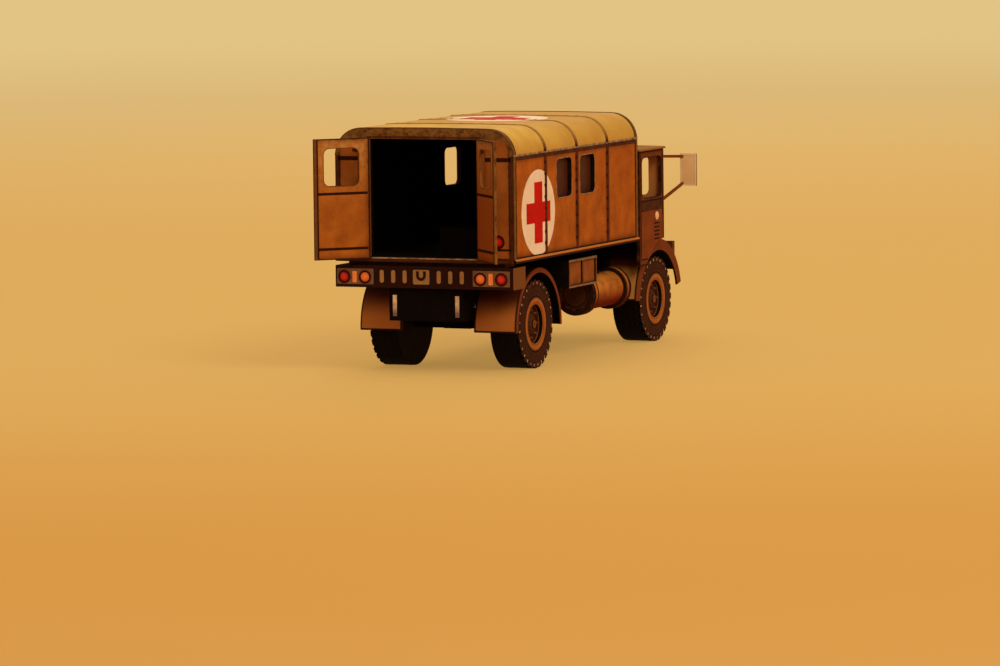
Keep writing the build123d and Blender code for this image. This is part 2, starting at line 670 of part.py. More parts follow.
def bonnet():
    """Folded bonnet, open below and at both ends, its top falling towards the front."""
    forms = []
    for section in (bonnet_section, bonnet_hollow):
        rear = Plane.YZ.offset(CAB_FRONT_X) * section(BONNET_REAR_HEIGHT)
        front = Plane.YZ.offset(NOSE_X) * section(BONNET_FRONT_HEIGHT)
        forms.append(loft([rear, front], ruled=True))
    outside, hollow = forms
    return outside - hollow


def radiator_grille():
    """Front panel with a row of upright slots."""
    panel = bonnet_section(BONNET_FRONT_HEIGHT)
    for number in range(SLOT_COUNT):
        shift = (number - (SLOT_COUNT - 1) / 2) * SLOT_PITCH
        panel -= Pos(shift, RAIL_Z + SLOT_BASE + SLOT_HEIGHT / 2) * Rectangle(SLOT_WIDTH, SLOT_HEIGHT)
    return slab_x(panel, NOSE_X, NOSE_X + GRILLE_THICKNESS)


def headlamps():
    """The two round headlamps on the front panel."""
    start = NOSE_X + GRILLE_THICKNESS
    lamp = Pos(start + HEADLAMP_LENGTH / 2, -HEADLAMP_Y, RAIL_Z + HEADLAMP_Z) * Rot(0, 90, 0)
    right = lamp * Cylinder(HEADLAMP_RADIUS, HEADLAMP_LENGTH)
    return Compound(children=list(both_sides(right).values()))


def front_bumper():
    """Bumper beam on two short irons from the front panel."""
    start = NOSE_X + GRILLE_THICKNESS
    half = FRONT_BUMPER_WIDTH / 2
    foot_z = RAIL_Z - FRONT_BUMPER_DROP
    levels = (foot_z, foot_z + FRONT_BUMPER_HEIGHT)
    beam = block((BUMPER_FRONT_X - FRONT_BUMPER_THICKNESS, BUMPER_FRONT_X), (-half, half), levels)
    iron = block(
        (start, BUMPER_FRONT_X - FRONT_BUMPER_THICKNESS),
        (-RAIL_OUTER_Y, RAIL_WIDTH - RAIL_OUTER_Y),
        levels,
    )
    return beam + list(both_sides(iron).values())


# Mirrors


def arm(start, end):
    """Square card arm between two points."""
    way = Vector(*end) - Vector(*start)
    section = Plane(origin=start, z_dir=way) * Rectangle(MIRROR_ARM, MIRROR_ARM)
    return extrude(section, way.length, dir=way.normalized())


def mirror_arms():
    """Right-hand mirror plate with its upper and lower arm to the cab's front corner."""
    width, height = MIRROR_PLATE
    plate_x = CAB_FRONT_X + MIRROR_FORWARD
    plate = block(
        (plate_x - SHEET / 2, plate_x + SHEET / 2),
        (-MIRROR_INNER_Y - width, -MIRROR_INNER_Y),
        (MIRROR_BASE_Z, MIRROR_BASE_Z + height),
    )
    root_x = CAB_FRONT_X - MIRROR_ARM
    ends = (
        (UPPER_ARM_ROOT, MIRROR_BASE_Z + height - MIRROR_ARM),
        (LOWER_ARM_ROOT, MIRROR_BASE_Z + MIRROR_ARM),
    )
    arms = [
        arm((root_x, -INNER_CAB, CAB_SILL_Z + root), (plate_x, -MIRROR_INNER_Y - MIRROR_ARM, end_z))
        for root, end_z in ends
    ]
    inside = block((CAB_REAR_X, NOSE_X), (-HALF_CAB, 0), (0, 2 * CAB_EAVES_Z))
    return plate + arms - inside


# The whole model


def all_pieces():
    """Every piece by name, still measured from the rear face of the body."""
    pieces = {
        "load_floor": load_floor(),
        "body_side_left": body_side("left"),
        "body_side_right": body_side("right"),
        "body_roof": body_roof(),
        "rear_wall": rear_wall(),
        "front_bulkhead": front_bulkhead(),
        "window_backing_right": window_backing(),
        "inner_bench": inner_bench(),
        "rear_door_left": rear_door(LEFT_DOOR_OPEN),
        "rear_door_right": mirror(rear_door(RIGHT_DOOR_OPEN), about=Plane.XZ),
        "cross_members": cross_members(),
        "rear_bumper": rear_bumper(),
        "tail_box": tail_box(),
        "propeller_shaft": propeller_shaft(),
        "cab_floor": cab_floor(),
        "cab_back": cab_back(),
        "cab_front": cab_front(),
        "cab_roof": cab_roof(),
        "cab_seat": cab_seat(),
        "bonnet": bonnet(),
        "radiator_grille": radiator_grille(),
        "headlamps": headlamps(),
        "front_bumper": front_bumper(),
    }
    # Pieces with a mirror image: name, right-hand piece
    paired = {
        "chassis_rail": chassis_rail(),
        "mudguard_rear": mudguard(
            REAR_AXLE_X,
            REAR_GUARD_RADIUS,
            RAIL_OUTER_Y,
            REAR_GUARD_LIP,
            -REAR_GUARD_ENDS,
            -REAR_GUARD_ENDS,
            -REAR_GUARD_ENDS,
        ),
        "mudguard_front": mudguard(
            FRONT_AXLE_X,
            FRONT_GUARD_RADIUS,
            BONNET_WIDTH / 2,
            FRONT_GUARD_LIP,
            FRONT_TAIL_LIFT,
            FRONT_SHEET_LIFT,
            FRONT_LIP_LIFT,
        ),
        "locker": locker(),
        "fuel_tank": fuel_tank(),
        "tank_straps": tank_straps(),
        "cab_side": cab_side(),
        "mirror": mirror_arms(),
    }
    # Axles: name, position along the truck
    for end, axle_x in (("rear", REAR_AXLE_X), ("front", FRONT_AXLE_X)):
        pieces[f"{end}_axle"] = axle(axle_x)
        pieces[f"{end}_springs"] = springs(axle_x)
        paired[f"tyre_{end}"] = Pos(axle_x, 0, AXLE_Z) * tyre()
        paired[f"wheel_disc_{end}"] = Pos(axle_x, 0, AXLE_Z) * wheel_disc()
    for name, right in paired.items():
        for side, piece in both_sides(right).items():
            pieces[f"{name}_{side}"] = piece
    return pieces


def middle_x():
    """Middle of the model's length, from the open doors' free edges to the front bumper."""
    reach = max(DOOR_WIDTH * sin(radians(angle)) for angle in (LEFT_DOOR_OPEN, RIGHT_DOOR_OPEN))
    rear_end = HINGE_X - reach - DOOR_THICKNESS / 2 * abs(cos(radians(RIGHT_DOOR_OPEN)))
    return (rear_end + BUMPER_FRONT_X) / 2


def save_pieces():
    """Write each piece, moved to the model's origin, to a file of its own."""
    os.makedirs("parts", exist_ok=True)
    to_origin = Pos(-middle_x(), 0, 0)
    for name, piece in all_pieces().items():
        export_step(to_origin * piece, f"parts/{name}.step")


save_pieces()
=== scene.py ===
"""Looks of a printed card model of a box-bodied ambulance truck, laid over its packed construction.

Sizes are millimetres in every class, with X towards the bonnet, Y to the truck's left and Z up from the
table. They become metres where a mesh, a lamp or the camera is made. A construction piece whose form is
right keeps its mesh and gets a finish. What is rolled or turned is made again here as smooth card.
"""

import json
import logging
import math
from abc import ABC, abstractmethod
from collections.abc import Callable, Iterator, Mapping, Sequence
from dataclasses import KW_ONLY, dataclass, field, replace
from enum import Enum

import bmesh
import bpy
from mathutils import Matrix, Vector

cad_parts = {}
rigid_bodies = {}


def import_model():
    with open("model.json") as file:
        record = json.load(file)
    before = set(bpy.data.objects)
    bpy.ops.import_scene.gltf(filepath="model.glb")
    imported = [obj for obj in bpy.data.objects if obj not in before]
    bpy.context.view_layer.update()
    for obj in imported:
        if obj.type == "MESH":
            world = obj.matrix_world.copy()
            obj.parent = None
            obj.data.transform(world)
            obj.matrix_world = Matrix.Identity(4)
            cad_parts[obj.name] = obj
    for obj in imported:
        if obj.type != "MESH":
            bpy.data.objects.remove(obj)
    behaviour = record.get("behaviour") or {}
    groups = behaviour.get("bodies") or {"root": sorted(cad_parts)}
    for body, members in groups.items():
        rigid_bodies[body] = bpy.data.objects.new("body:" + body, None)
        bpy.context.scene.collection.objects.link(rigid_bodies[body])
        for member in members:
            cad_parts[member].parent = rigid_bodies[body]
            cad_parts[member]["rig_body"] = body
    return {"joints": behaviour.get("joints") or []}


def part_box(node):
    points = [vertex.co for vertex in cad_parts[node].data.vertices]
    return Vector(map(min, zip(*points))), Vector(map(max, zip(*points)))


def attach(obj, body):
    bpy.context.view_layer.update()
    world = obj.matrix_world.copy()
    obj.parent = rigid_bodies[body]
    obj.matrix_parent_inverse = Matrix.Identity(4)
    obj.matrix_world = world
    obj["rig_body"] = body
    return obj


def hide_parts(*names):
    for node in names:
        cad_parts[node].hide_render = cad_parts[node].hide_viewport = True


LOG = logging.getLogger("card_model")
MM = 0.001
TRUCK = "truck"
Point2 = tuple[float, float]
Point3 = tuple[float, float, float]
Colour = tuple[float, float, float, float]
Outline = Sequence[Point2]
Piece = bpy.types.Object
Pieces = Iterator[Piece]
ORIGIN: Point3 = (0.0, 0.0, 0.0)
FORWARD: Point3 = (1.0, 0.0, 0.0)
BACKWARD: Point3 = (-1.0, 0.0, 0.0)
LEFTWARD: Point3 = (0.0, 1.0, 0.0)
UPWARD: Point3 = (0.0, 0.0, 1.0)
ABOUT_X: Point3 = (0.0, 1.0, 1.0)
ABOUT_Y: Point3 = (1.0, 0.0, 1.0)
WHITE: Colour = (1.0, 1.0, 1.0, 1.0)
SUNK = -0.02  # foot of a thin print, just inside the card that carries it
WINDOW_SUNK = -0.05  # foot of a window's cut edge
FINE, ROUND, SMALL = 96, 72, 44  # steps round discs, round drums and round lamps


class Side(Enum):
    """A side of the truck, with the sign of its Y."""

    LEFT = 1
    RIGHT = -1

    @property
    def word(self) -> str:
        """Word that ends the names of this side's pieces."""
        return self.name.lower()

    @property
    def out(self) -> Point3:
        """Direction away from the truck on this side."""
        return (0.0, float(self.value), 0.0)


class Ink(Enum):
    """Printed inks and bare paper, as sRGB hex."""

    KHAKI = "af5711"
    KHAKI_DEEP = "80380b"
    DOOR = "ac5a16"
    DOOR_DEEP = "843c0c"
    ROOF = "d09c3e"
    ROOF_SEAM = "96642c"
    ROOF_DEEP = "ae7526"
    # Darker than the body's khaki, in part as painted shade on the cab and the parts ahead of it.
    CAB = "843c10"
    CAB_DEEP = "5c270b"
    CAB_INSIDE = "bf7335"
    CAB_ROOF = "925a08"
    CAB_ROOF_DEEP = "784616"
    REAR = "a4581c"
    REAR_DEEP = "743a10"
    BRAID = "80501e"
    BRAID_DEEP = "4e2a0e"
    DOOR_UPPER = "b87c3a"
    GUARD = "6e300f"
    GUARD_DEEP = "3c1606"
    FLAP = "ae6226"
    SHEET = "c8823a"
    FLANGE = "783611"
    TANK = "cc7826"
    TANK_DEEP = "6c1602"
    LOCKER = "98501c"
    LOCKER_DEEP = "662b0c"
    LID = "866644"
    COPPER = "b86c2a"
    RIM = "aa5a1e"
    RIM_DEEP = "8a4515"
    DIM_TAN = "744018"
    SEAM = "5c240b"
    SLOT = "a66e36"
    TYRE_BACK = "22120a"
    BAR = "8a6250"
    LINE = "240f06"
    OUTLINE = "38180a"
    EDGE = "552a12"
    BLACK = "0f0906"
    BLACK_SOFT = "1a100a"
    BUMPER = "2c1006"
    SIDEWALL = "46200d"
    SIDEWALL_DEEP = "2c1308"
    PAPER = "dcb384"
    PAPER_WORN = "b98a5c"
    DISC = "ecc79c"
    DISC_DEEP = "dcae7c"
    CROSS = "c41504"
    CROSS_DEEP = "a81204"
    LAMP_RED = "de1c08"
    LAMP_RED_RIM = "7a0c04"
    LAMP_ORANGE = "ee7020"
    LAMP_AMBER = "f08a3c"
    LAMP_ORANGE_RIM = "c0561a"
    LAMP_RING = "4c0e05"
    LAMP_PLATE = "7c5636"
    LENS = "d9c9a4"
    LENS_RIM = "a88c60"
    BLIND = "4e2210"
    BLIND_DEEP = "361408"
    MIRROR = "eab676"
    MIRROR_DEEP = "d89e5a"
    MIRROR_RIM = "e4c292"

    @property
    def linear(self) -> Colour:
        """The ink as a linear colour with full alpha."""
        parts = [int(self.value[start:start + 2], 16) / 255 for start in (0, 2, 4)]
        return (*(c / 12.92 if c <= 0.04045 else ((c + 0.055) / 1.055) ** 2.4 for c in parts), 1.0)


class Slot(Enum):
    """Names of material slots in the record, which each finish carries."""

    KHAKI = "printed_khaki"
    ROOF = "printed_roof"
    BROWN = "printed_brown"
    TANK = "printed_tank"
    BLACK = "black_card"
    TYRE = "tyre_card"
    LAMP = "lamp_card"
    NONE = ""


@dataclass(frozen=True)
class Extent:
    """Lowest and highest corner of a construction piece."""

    low: Vector
    high: Vector

    @classmethod
    def of(cls, node: str) -> "Extent":
        """Measures a construction piece by its name, in millimetres."""
        low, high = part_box(node)
        return cls(low / MM, high / MM)

    @property
    def middle(self) -> Vector:
        """Middle of the piece."""
        return (self.low + self.high) / 2

    @property
    def length(self) -> float:
        """Size along X."""
        return self.high.x - self.low.x

    @property
    def height(self) -> float:
        """Size along Z."""
        return self.high.z - self.low.z

    def outer_y(self, side: Side) -> float:
        """Y of the piece's face away from the truck's middle."""
        return self.high.y if side is Side.LEFT else self.low.y


@dataclass(frozen=True)
class Face:
    """A flat place to build on: its origin, two directions along it and the one out of it."""

    origin: Point3
    along: Point3
    up: Point3
    out: Point3

    def at(self, u: float, v: float, level: float = 0.0) -> Vector:
        """Point at u along the face, v up it and level above it."""
        along, up, out = Vector(self.along), Vector(self.up), Vector(self.out)
        return Vector(self.origin) + u * along + v * up + level * out

    def moved(self, u: float, v: float, level: float = 0.0) -> "Face":
        """The same face from another origin on it."""
        return Face(tuple(self.at(u, v, level)), self.along, self.up, self.out)


def mirrored(end: Outline) -> Outline:
    """Profile of a turned piece, from one of its ends and that end's mirror image."""
    return [*end, *((radius, -level) for radius, level in reversed(end))]


def side_face(side: Side, x: float, y: float, z: float) -> Face:
    """Face that looks out of one side of the truck, its u along X."""
    return Face((x, y, z), FORWARD, UPWARD, side.out)


def end_face(x: float, y: float, z: float, forward: bool = False) -> Face:
    """Face that looks back, or forward, along the truck, its u along Y."""
    return Face((x, y, z), LEFTWARD, UPWARD, FORWARD if forward else BACKWARD)


REAR_PLANE = end_face(*ORIGIN)  # for shapes given in the truck's own coordinates


def rectangle(u: float, v: float, width: float, height: float) -> Outline:
    """Rectangle about its middle, counterclockwise."""
    signs = ((-1, -1), (1, -1), (1, 1), (-1, 1))
    return [(u + a * width / 2, v + b * height / 2) for a, b in signs]


def rounded(u: float, v: float, width: float, height: float, radius: float, cuts: int = 6) -> Outline:
    """Rectangle with rounded corners.

    Args:
        u: Middle across.
        v: Middle up.
        width: Full width.
        height: Full height.
        radius: Radius of the corners.
        cuts: Steps round one corner.

    Returns:
        The corners' points, counterclockwise.
    """
    points = []
    for corner, (sign_u, sign_v) in enumerate(((1, 1), (-1, 1), (-1, -1), (1, -1))):
        for cut in range(cuts + 1):
            turn = math.pi / 2 * (corner + cut / cuts)
            points.append((
                u + sign_u * (width / 2 - radius) + radius * math.cos(turn),
                v + sign_v * (height / 2 - radius) + radius * math.sin(turn),
            ))
    return points


def circle(u: float, v: float, radius: float, steps: int = 64, start: float = 0.0,
           end: float = 360.0) -> Outline:
    """Points of a circle, or of its arc from start to end in degrees."""
    spans = steps if end - start >= 360.0 else steps - 1
    turns = [math.radians(start + (end - start) * n / spans) for n in range(steps)]
    return [(u + radius * math.cos(turn), v + radius * math.sin(turn)) for turn in turns]


def cross(u: float, v: float, height: float) -> list[Outline]:
    """Plain Greek cross about a middle, as its upright and its two arms."""
    arm = height / 3
    return [rectangle(u, v, arm, height)] + [rectangle(u + sign * arm, v, arm, arm) for sign in (-1, 1)]


class Field:
    """A socket of a node tree, on which arithmetic adds Math nodes."""

    def __init__(self, tree: "Tree", socket: bpy.types.NodeSocket) -> None:
        """Wraps an output socket of a tree."""
        self.tree = tree
        self.socket = socket

    def _math(self, operation: str, *terms: "Field | float") -> "Field":
        """Adds a Math node on the terms in their order."""
        sockets = dict(zip(("Value", "Value_001"), terms))
        return self.tree.add("ShaderNodeMath", sockets, operation=operation)

    def __add__(self, other: "Field | float") -> "Field":
        """Sum."""
        return self._math("ADD", self, other)

    def __sub__(self, other: "Field | float") -> "Field":
        """Difference."""
        return self._math("SUBTRACT", self, other)

    def __rsub__(self, other: float) -> "Field":
        """Difference from a number."""
        return self._math("SUBTRACT", other, self)

    def __mul__(self, other: "Field | float") -> "Field":
        """Product."""
        return self._math("MULTIPLY", self, other)

    def __abs__(self) -> "Field":
        """Size without its sign."""
        return self._math("ABSOLUTE", self)

    __radd__, __rmul__ = __add__, __mul__

    def least(self, other: "Field | float") -> "Field":
        """The smaller of two."""
        return self._math("MINIMUM", self, other)

    def most(self, other: "Field | float") -> "Field":
        """The larger of two."""
        return self._math("MAXIMUM", self, other)

    def fold(self, half: float) -> "Field":
        """Distance from the nearest multiple of twice a half length."""
        return self._math("PINGPONG", self, half)

    def ramp(self, start: float, end: float) -> "Field":
        """Smooth step from 0 at start to 1 at end."""
        limits = {"Value": self, "From Min": start, "From Max": end}
        return self.tree.add("ShaderNodeMapRange", limits, interpolation_type="SMOOTHSTEP")

    def below(self, edge: float, blur: float = 0.04) -> "Field":
        """Mask that is 1 below an edge and 0 above it."""
        return 1.0 - self.ramp(edge - blur, edge + blur)

    def part(self, output: str) -> "Field":
        """Another output of the same node."""
        found = next(s for s in self.socket.node.outputs if s.identifier == output)
        return Field(self.tree, found)


class Tree:
    """A node tree in the making, all of whose nodes come from one method."""

    def __init__(self, tree: bpy.types.NodeTree) -> None:
        """Starts from an empty tree."""
        self.tree = tree
        tree.nodes.clear()

    def add(self, kind: str, inputs: Mapping[str, object] | None = None, output: str = "",
            **settings: object) -> Field:
        """Adds a node.

        Args:
            kind: The node's type.
            inputs: A value or a Field for each socket, by the socket's identifier.
            output: Identifier of the output to hand back, by default the first one in use.
            settings: Properties of the node, set before its sockets.

        Returns:
            The chosen output, or the node's first input where it has no output.
        """
        node = self.tree.nodes.new(kind)
        for name, value in settings.items():
            setattr(node, name, value)
        for name, value in (inputs or {}).items():
            socket = next(s for s in node.inputs if s.identifier == name)
            if isinstance(value, Field):
                self.tree.links.new(value.socket, socket)
            else:
                socket.default_value = value.linear if isinstance(value, Ink) else value
        outputs = [s for s in node.outputs if s.enabled and (not output or s.identifier == output)]
        return Field(self, outputs[0] if outputs else node.inputs[0])

    def seen(self) -> Field:
        """Mask of the rays by which the camera sees: straight, mirrored or through glass."""
        rays = self.add("ShaderNodeLightPath", output="Is Camera Ray")
        return rays.most(rays.part("Is Glossy Ray")).most(rays.part("Is Transmission Ray"))

    def blend(self, share: Field, below: Field, above: Field) -> Field:
        """Shader that goes from below to above as share goes from 0 to 1."""
        return self.add("ShaderNodeMixShader", {"Fac": share, "Shader": below, "Shader_001": above})


class Graph(Tree):
    """The node tree of one material, measured in millimetres on the piece."""

    def __init__(self, name: str, centre: Point3 = ORIGIN) -> None:
        """Makes a material whose patterns are measured from a centre on the piece."""
        self.material = bpy.data.materials.new(name)
        self.material.use_nodes = True
        super().__init__(self.material.node_tree)
        here = self.add("ShaderNodeTexCoord", output="Object")
        scaled = {"Vector": here, "Scale": (1 / MM,) * 3, "Location": tuple(-c for c in centre)}
        self.place = self.add("ShaderNodeMapping", scaled, vector_type="POINT")
        self.normal = here.part("Normal")

    def dot(self, vector: Field, other: Field | Point3) -> Field:
        """Dot product of two vectors."""
        sockets = {"Vector": vector, "Vector_001": other}
        return self.add("ShaderNodeVectorMath", sockets, "Value", operation="DOT_PRODUCT")

    def along(self, way: Point3) -> Field:
        """Distance of the place from the centre, along a way."""
        return self.dot(self.place, way)

    def facing(self, way: Field | Point3) -> Field:
        """How far the surface looks along a way, up to the way's length."""
        return self.dot(self.normal, way)

    def spoke(self, axis: Point3) -> Field:
        """Place measured from an axis, ABOUT_X or ABOUT_Y, through the centre."""
        sockets = {"Vector": self.place, "Vector_001": axis}
        return self.add("ShaderNodeVectorMath", sockets, operation="MULTIPLY")

    def length(self, vector: Field) -> Field:
        """Length of a vector."""
        return self.add("ShaderNodeVectorMath", {"Vector": vector}, "Value", operation="LENGTH")

    def noise(self, size: float, detail: float = 2.0) -> Field:
        """Smooth noise, most of it from 0.3 to 0.7, with its largest spots about a size across."""
        sockets = {"Vector": self.place, "Scale": 1 / size, "Detail": detail}
        return self.add("ShaderNodeTexNoise", sockets, "Fac")

    def mix(self, share: Field | float, below: Field | Ink | Colour, above: Field | Ink | Colour) -> Field:
        """Colour that goes from below to above as share goes from 0 to 1."""
        sockets = {"Factor_Float": share, "A_Color": below, "B_Color": above}
        return self.add("ShaderNodeMix", sockets, "Result_Color", data_type="RGBA")

    def fuzz(self, below: Ink, above: Ink) -> Field:
        """Two inks in fine spots."""
        return self.mix(self.noise(0.8, 3.0).ramp(0.3, 0.75), below, above)

    def close(self, colour: Field, roughness: Field, height: Field, depth: float, coat: float,
              gloss: float) -> None:
        """Joins the surface's fields to its shader.

        Args:
            colour: Base colour.
            roughness: Roughness.
            height: Relief of the surface from 0 to 1.
            depth: Depth of the relief in millimetres.
            coat: Weight of a thin gloss coat.
            gloss: Reflectance, where 0.5 is plain plastic.
        """
        bump = self.add("ShaderNodeBump", {"Strength": 1.0, "Distance": depth * MM, "Height": height})
        surface = {"Base Color": colour, "Roughness": roughness, "Normal": bump, "Coat Weight": coat,
                   "Specular IOR Level": gloss, "Coat Roughness": 0.22}
        shader = self.add("ShaderNodeBsdfPrincipled", surface)
        self.add("ShaderNodeOutputMaterial", {"Surface": shader})


@dataclass(frozen=True)
class Finish:
    """Matt printed card: one tone that clouds into a deeper one, with the printer's grain."""

    name: str
    tone: Ink
    deep: Ink
    _: KW_ONLY
    slot: Slot = Slot.KHAKI
    cloud: float = 3.2
    cloud_share: float = 1.5
    grain: float = 0.24
    grain_share: float = 0.9
    balance: float = 0.32
    roughness: float = 0.72
    coat: float = 0.0
    gloss: float = 0.04
    fibre: float = 0.012
    centre: Point3 = ORIGIN

    def colour(self, graph: Graph) -> Field:
        """Colour over the surface.

        Args:
            graph: The material's node tree.

        Returns:
            The colour's field.
        """
        clouds = (graph.noise(self.cloud, 4.0) - 0.5) * self.cloud_share
        grains = (graph.noise(self.grain, 2.0) - 0.5) * self.grain_share
        return graph.mix((clouds + grains + self.balance).most(0.0).least(1.0), self.tone, self.deep)

    def material(self) -> bpy.types.Material:
        """The finish's material, made once."""
        made = bpy.data.materials.get(self.name)
        if made is None:
            graph = Graph(self.name, self.centre)
            fibres = graph.noise(0.13, 3.0)
            roughness = self.roughness + (graph.noise(1.6) - 0.5) * 0.22
            graph.close(self.colour(graph), roughness, fibres, self.fibre, self.coat, self.gloss)
            made = graph.material
        return made

    def dress(self, *nodes: str) -> None:
        """Gives the finish to construction pieces."""
        for node in nodes:
            bpy.data.objects[node].material_slots[0].material = self.material()


@dataclass(frozen=True, kw_only=True)
class WallFinish(Finish):
    """Card wall: printed outside up to a dark outline, another ink inside, worn along its cut edges.

    The face's origin is the printed area's lower corner. A pitch above 0 repeats the outline at each seam.
    """

    face: Face
    size: Point2
    pitch: float = 0.0
    outline: Ink = Ink.OUTLINE
    outline_width: float = 0.25
    fade: float = 1.5
    fade_share: float = 0.55
    inside: Ink = Ink.BLACK
    edge: Ink = Ink.EDGE
    bare: Ink = Ink.DIM_TAN
    bare_share: float = 0.46
    upper: Ink = Ink.KHAKI
    upper_deep: Ink = Ink.KHAKI_DEEP
    upper_share: float = 0.0
    upper_span: Point2 = (0.0, 1.0)

    def border(self, graph: Graph) -> Field:
        """Distance from the nearest border of the printed area."""
        face = self.face
        u, v = (graph.along(way) - Vector(face.origin).dot(Vector(way)) for way in (face.along, face.up))
        across = u.fold(self.pitch / 2) if self.pitch else u.least(self.size[0] - u)
        return across.least(v).least(self.size[1] - v)

    def colour(self, graph: Graph) -> Field:
        """Colour over the surface.

        Args:
            graph: The material's node tree.

        Returns:
            The colour's field.
        """
        border = self.border(graph)
        uneven = border + (graph.noise(0.7, 3.0) - 0.5) * 0.25
        shadow = (1.0 - border.ramp(0.0, self.fade)) * self.fade_share
        printed = super().colour(graph)
        if self.upper_share:
            height = graph.along(self.face.up) - self.face.origin[2]
            above = graph.fuzz(self.upper, self.upper_deep)
            printed = graph.mix(height.ramp(*self.upper_span) * self.upper_share, printed, above)
        printed = graph.mix(shadow, printed, self.outline)
        printed = graph.mix(uneven.below(self.outline_width, 0.07), printed, self.outline)
        facing = graph.facing(self.face.out)
        worn = graph.noise(1.3, 2.0).ramp(self.bare_share - 0.12, self.bare_share + 0.3)
        cut = graph.mix(worn, self.edge, self.bare)
        sided = graph.mix(facing.below(0.5, 0.1), printed, cut)
        return graph.mix(facing.below(-0.5, 0.1), sided, self.inside)


@dataclass(frozen=True, kw_only=True)
class SeamFinish(Finish):
    """Seam print, dark on the walls and paler over the roof. The centre lies at the eaves."""

    over_roof: Ink = Ink.ROOF_SEAM
    change: Point2 = (0.3, 2.6)  # heights over which the roof's print takes over

    def colour(self, graph: Graph) -> Field:
        """Colour over the surface."""
        return graph.mix(graph.along(UPWARD).ramp(*self.change), super().colour(graph), self.over_roof)


@dataclass(frozen=True, kw_only=True)
class RoofFinish(Finish):
    """Roof sheet: golden outside, darker on its shoulders, painted shade ahead, black inside, brown ends.

    The centre lies on the truck's middle line at the eaves.
    """

    shoulder: float
    shoulder_share: float = 0.4
    # X span from the centre over which painted shade darkens the roof towards the front
    ahead: Point2 = (-32.0, -12.0)
    ahead_share: float = 0.45

    def colour(self, graph: Graph) -> Field:
        """Colour over the surface.

        Args:
            graph: The material's node tree.

        Returns:
            The colour's field.
        """
        # Darker low down the shoulders, and painted shade that darkens the roof towards the front.
        low = (1.0 - graph.along(UPWARD).ramp(0.0, self.shoulder)) * self.shoulder_share
        low = low.most(graph.along(FORWARD).ramp(*self.ahead) * self.ahead_share)
        sheet = graph.mix(low, super().colour(graph), self.deep)
        sheet = graph.mix(graph.facing(graph.place).below(0.0, 0.1), sheet, Ink.BLACK)
        fuzz = graph.fuzz(Ink.BRAID, Ink.BRAID_DEEP)
        return graph.mix(abs(graph.facing(FORWARD)).ramp(0.6, 0.9), sheet, fuzz)


@dataclass(frozen=True, kw_only=True)
class DialFinish(Finish):
    """Printed lamp: bright in the middle and darker towards its rim, by the distance kept in the mesh."""

    radius: float
    slot: Slot = Slot.LAMP
    coat: float = 0.4

    def colour(self, graph: Graph) -> Field:
        """Colour over the surface."""
        reach = graph.add("ShaderNodeAttribute", output="Fac", attribute_name=Shape.REACH)
        return graph.mix(reach.ramp(0.25 * self.radius, 1.05 * self.radius), self.tone, self.deep)


@dataclass(frozen=True, kw_only=True)
class RoundFinish(Finish):
    """Turned piece about a Y axle through the centre: rings outside, another ink round it, black inside."""

    rings: tuple[tuple[float, float, Ink], ...] = ()
    rim: Ink = Ink.BLACK

    def colour(self, graph: Graph) -> Field:
        """Colour over the surface.

        Args:
            graph: The material's node tree.

        Returns:
            The colour's field.
        """
        reach = graph.length(graph.spoke(ABOUT_Y))
        printed = super().colour(graph)
        for radius, width, ink in self.rings:
            printed = graph.mix(abs(reach - radius).below(width / 2, 0.05), printed, ink)
        outward = graph.facing(LEFTWARD) * graph.along(LEFTWARD)
        sided = graph.mix(outward.ramp(4.0, 6.0), self.rim, printed)
        return graph.mix(outward.below(-5.0, 1.0), sided, Ink.TYRE_BACK)


@dataclass(frozen=True, kw_only=True)
class GuardFinish(Finish):
    """Rolled mudguard above its foot, over the axle: outlined outside, pale low down, black inside."""

    width: float
    inner: float
    pale: Point2
    foot: Ink

    def colour(self, graph: Graph) -> Field:
        """Colour over the surface.

        Args:
            graph: The material's node tree.

        Returns:
            The colour's field.
        """
        across, height = abs(graph.along(LEFTWARD)) - self.inner, graph.along(UPWARD)
        border = across.least(self.width - across).least(height)
        start, end = self.pale
        sheet = graph.mix(height.ramp(start + 1.8, end + 1.3), super().colour(graph), self.deep)
        sheet = graph.mix((1.0 - height.ramp(start, end)) * 0.85, sheet, self.foot)
        sheet = graph.mix(border.below(0.32, 0.08), sheet, Ink.LINE)
        sheet = graph.mix(graph.facing(graph.spoke(ABOUT_Y)).below(0.0, 0.1), sheet, Ink.BLACK)
        flange = graph.mix(graph.noise(1.2), Ink.FLANGE, self.tone)
        return graph.mix(abs(graph.facing(LEFTWARD)).ramp(0.6, 0.9), sheet, flange)


@dataclass(frozen=True, kw_only=True)
class TankFinish(Finish):
    """Rolled drum about its centre: warm barrel with painted shade underneath, dark rims and end caps."""

    half: float
    rim_length: float
    radius: float

    def colour(self, graph: Graph) -> Field:
        """Colour over the surface.

        Args:
            graph: The material's node tree.

        Returns:
            The colour's field.
        """
        from_end = self.half - abs(graph.along(FORWARD))
        # Painted shade: the barrel darkens to its deep ink towards the bottom.
        low = 1.0 - graph.along(UPWARD).ramp(-0.6 * self.radius, 0.42 * self.radius)
        barrel = graph.mix(low, super().colour(graph), self.deep)
        barrel = graph.mix(abs(from_end - self.rim_length).below(0.22, 0.1), barrel, Ink.LINE)
        rims = graph.mix(graph.noise(0.9, 3.0).ramp(0.45, 0.6), Ink.LINE, Ink.EDGE)
        barrel = graph.mix(from_end.below(self.rim_length - 0.1, 0.05), barrel, rims)
        reach = graph.length(graph.spoke(ABOUT_X))
        cap = graph.mix(abs(reach - 0.6 * self.radius).below(0.12, 0.05), super().colour(graph), Ink.LINE)
        cap = graph.mix(reach.ramp(0.75 * self.radius, 0.8 * self.radius) * 0.12 + 0.86, cap, Ink.LINE)
        return graph.mix(abs(graph.facing(FORWARD)).ramp(0.8, 0.95), barrel, cap)


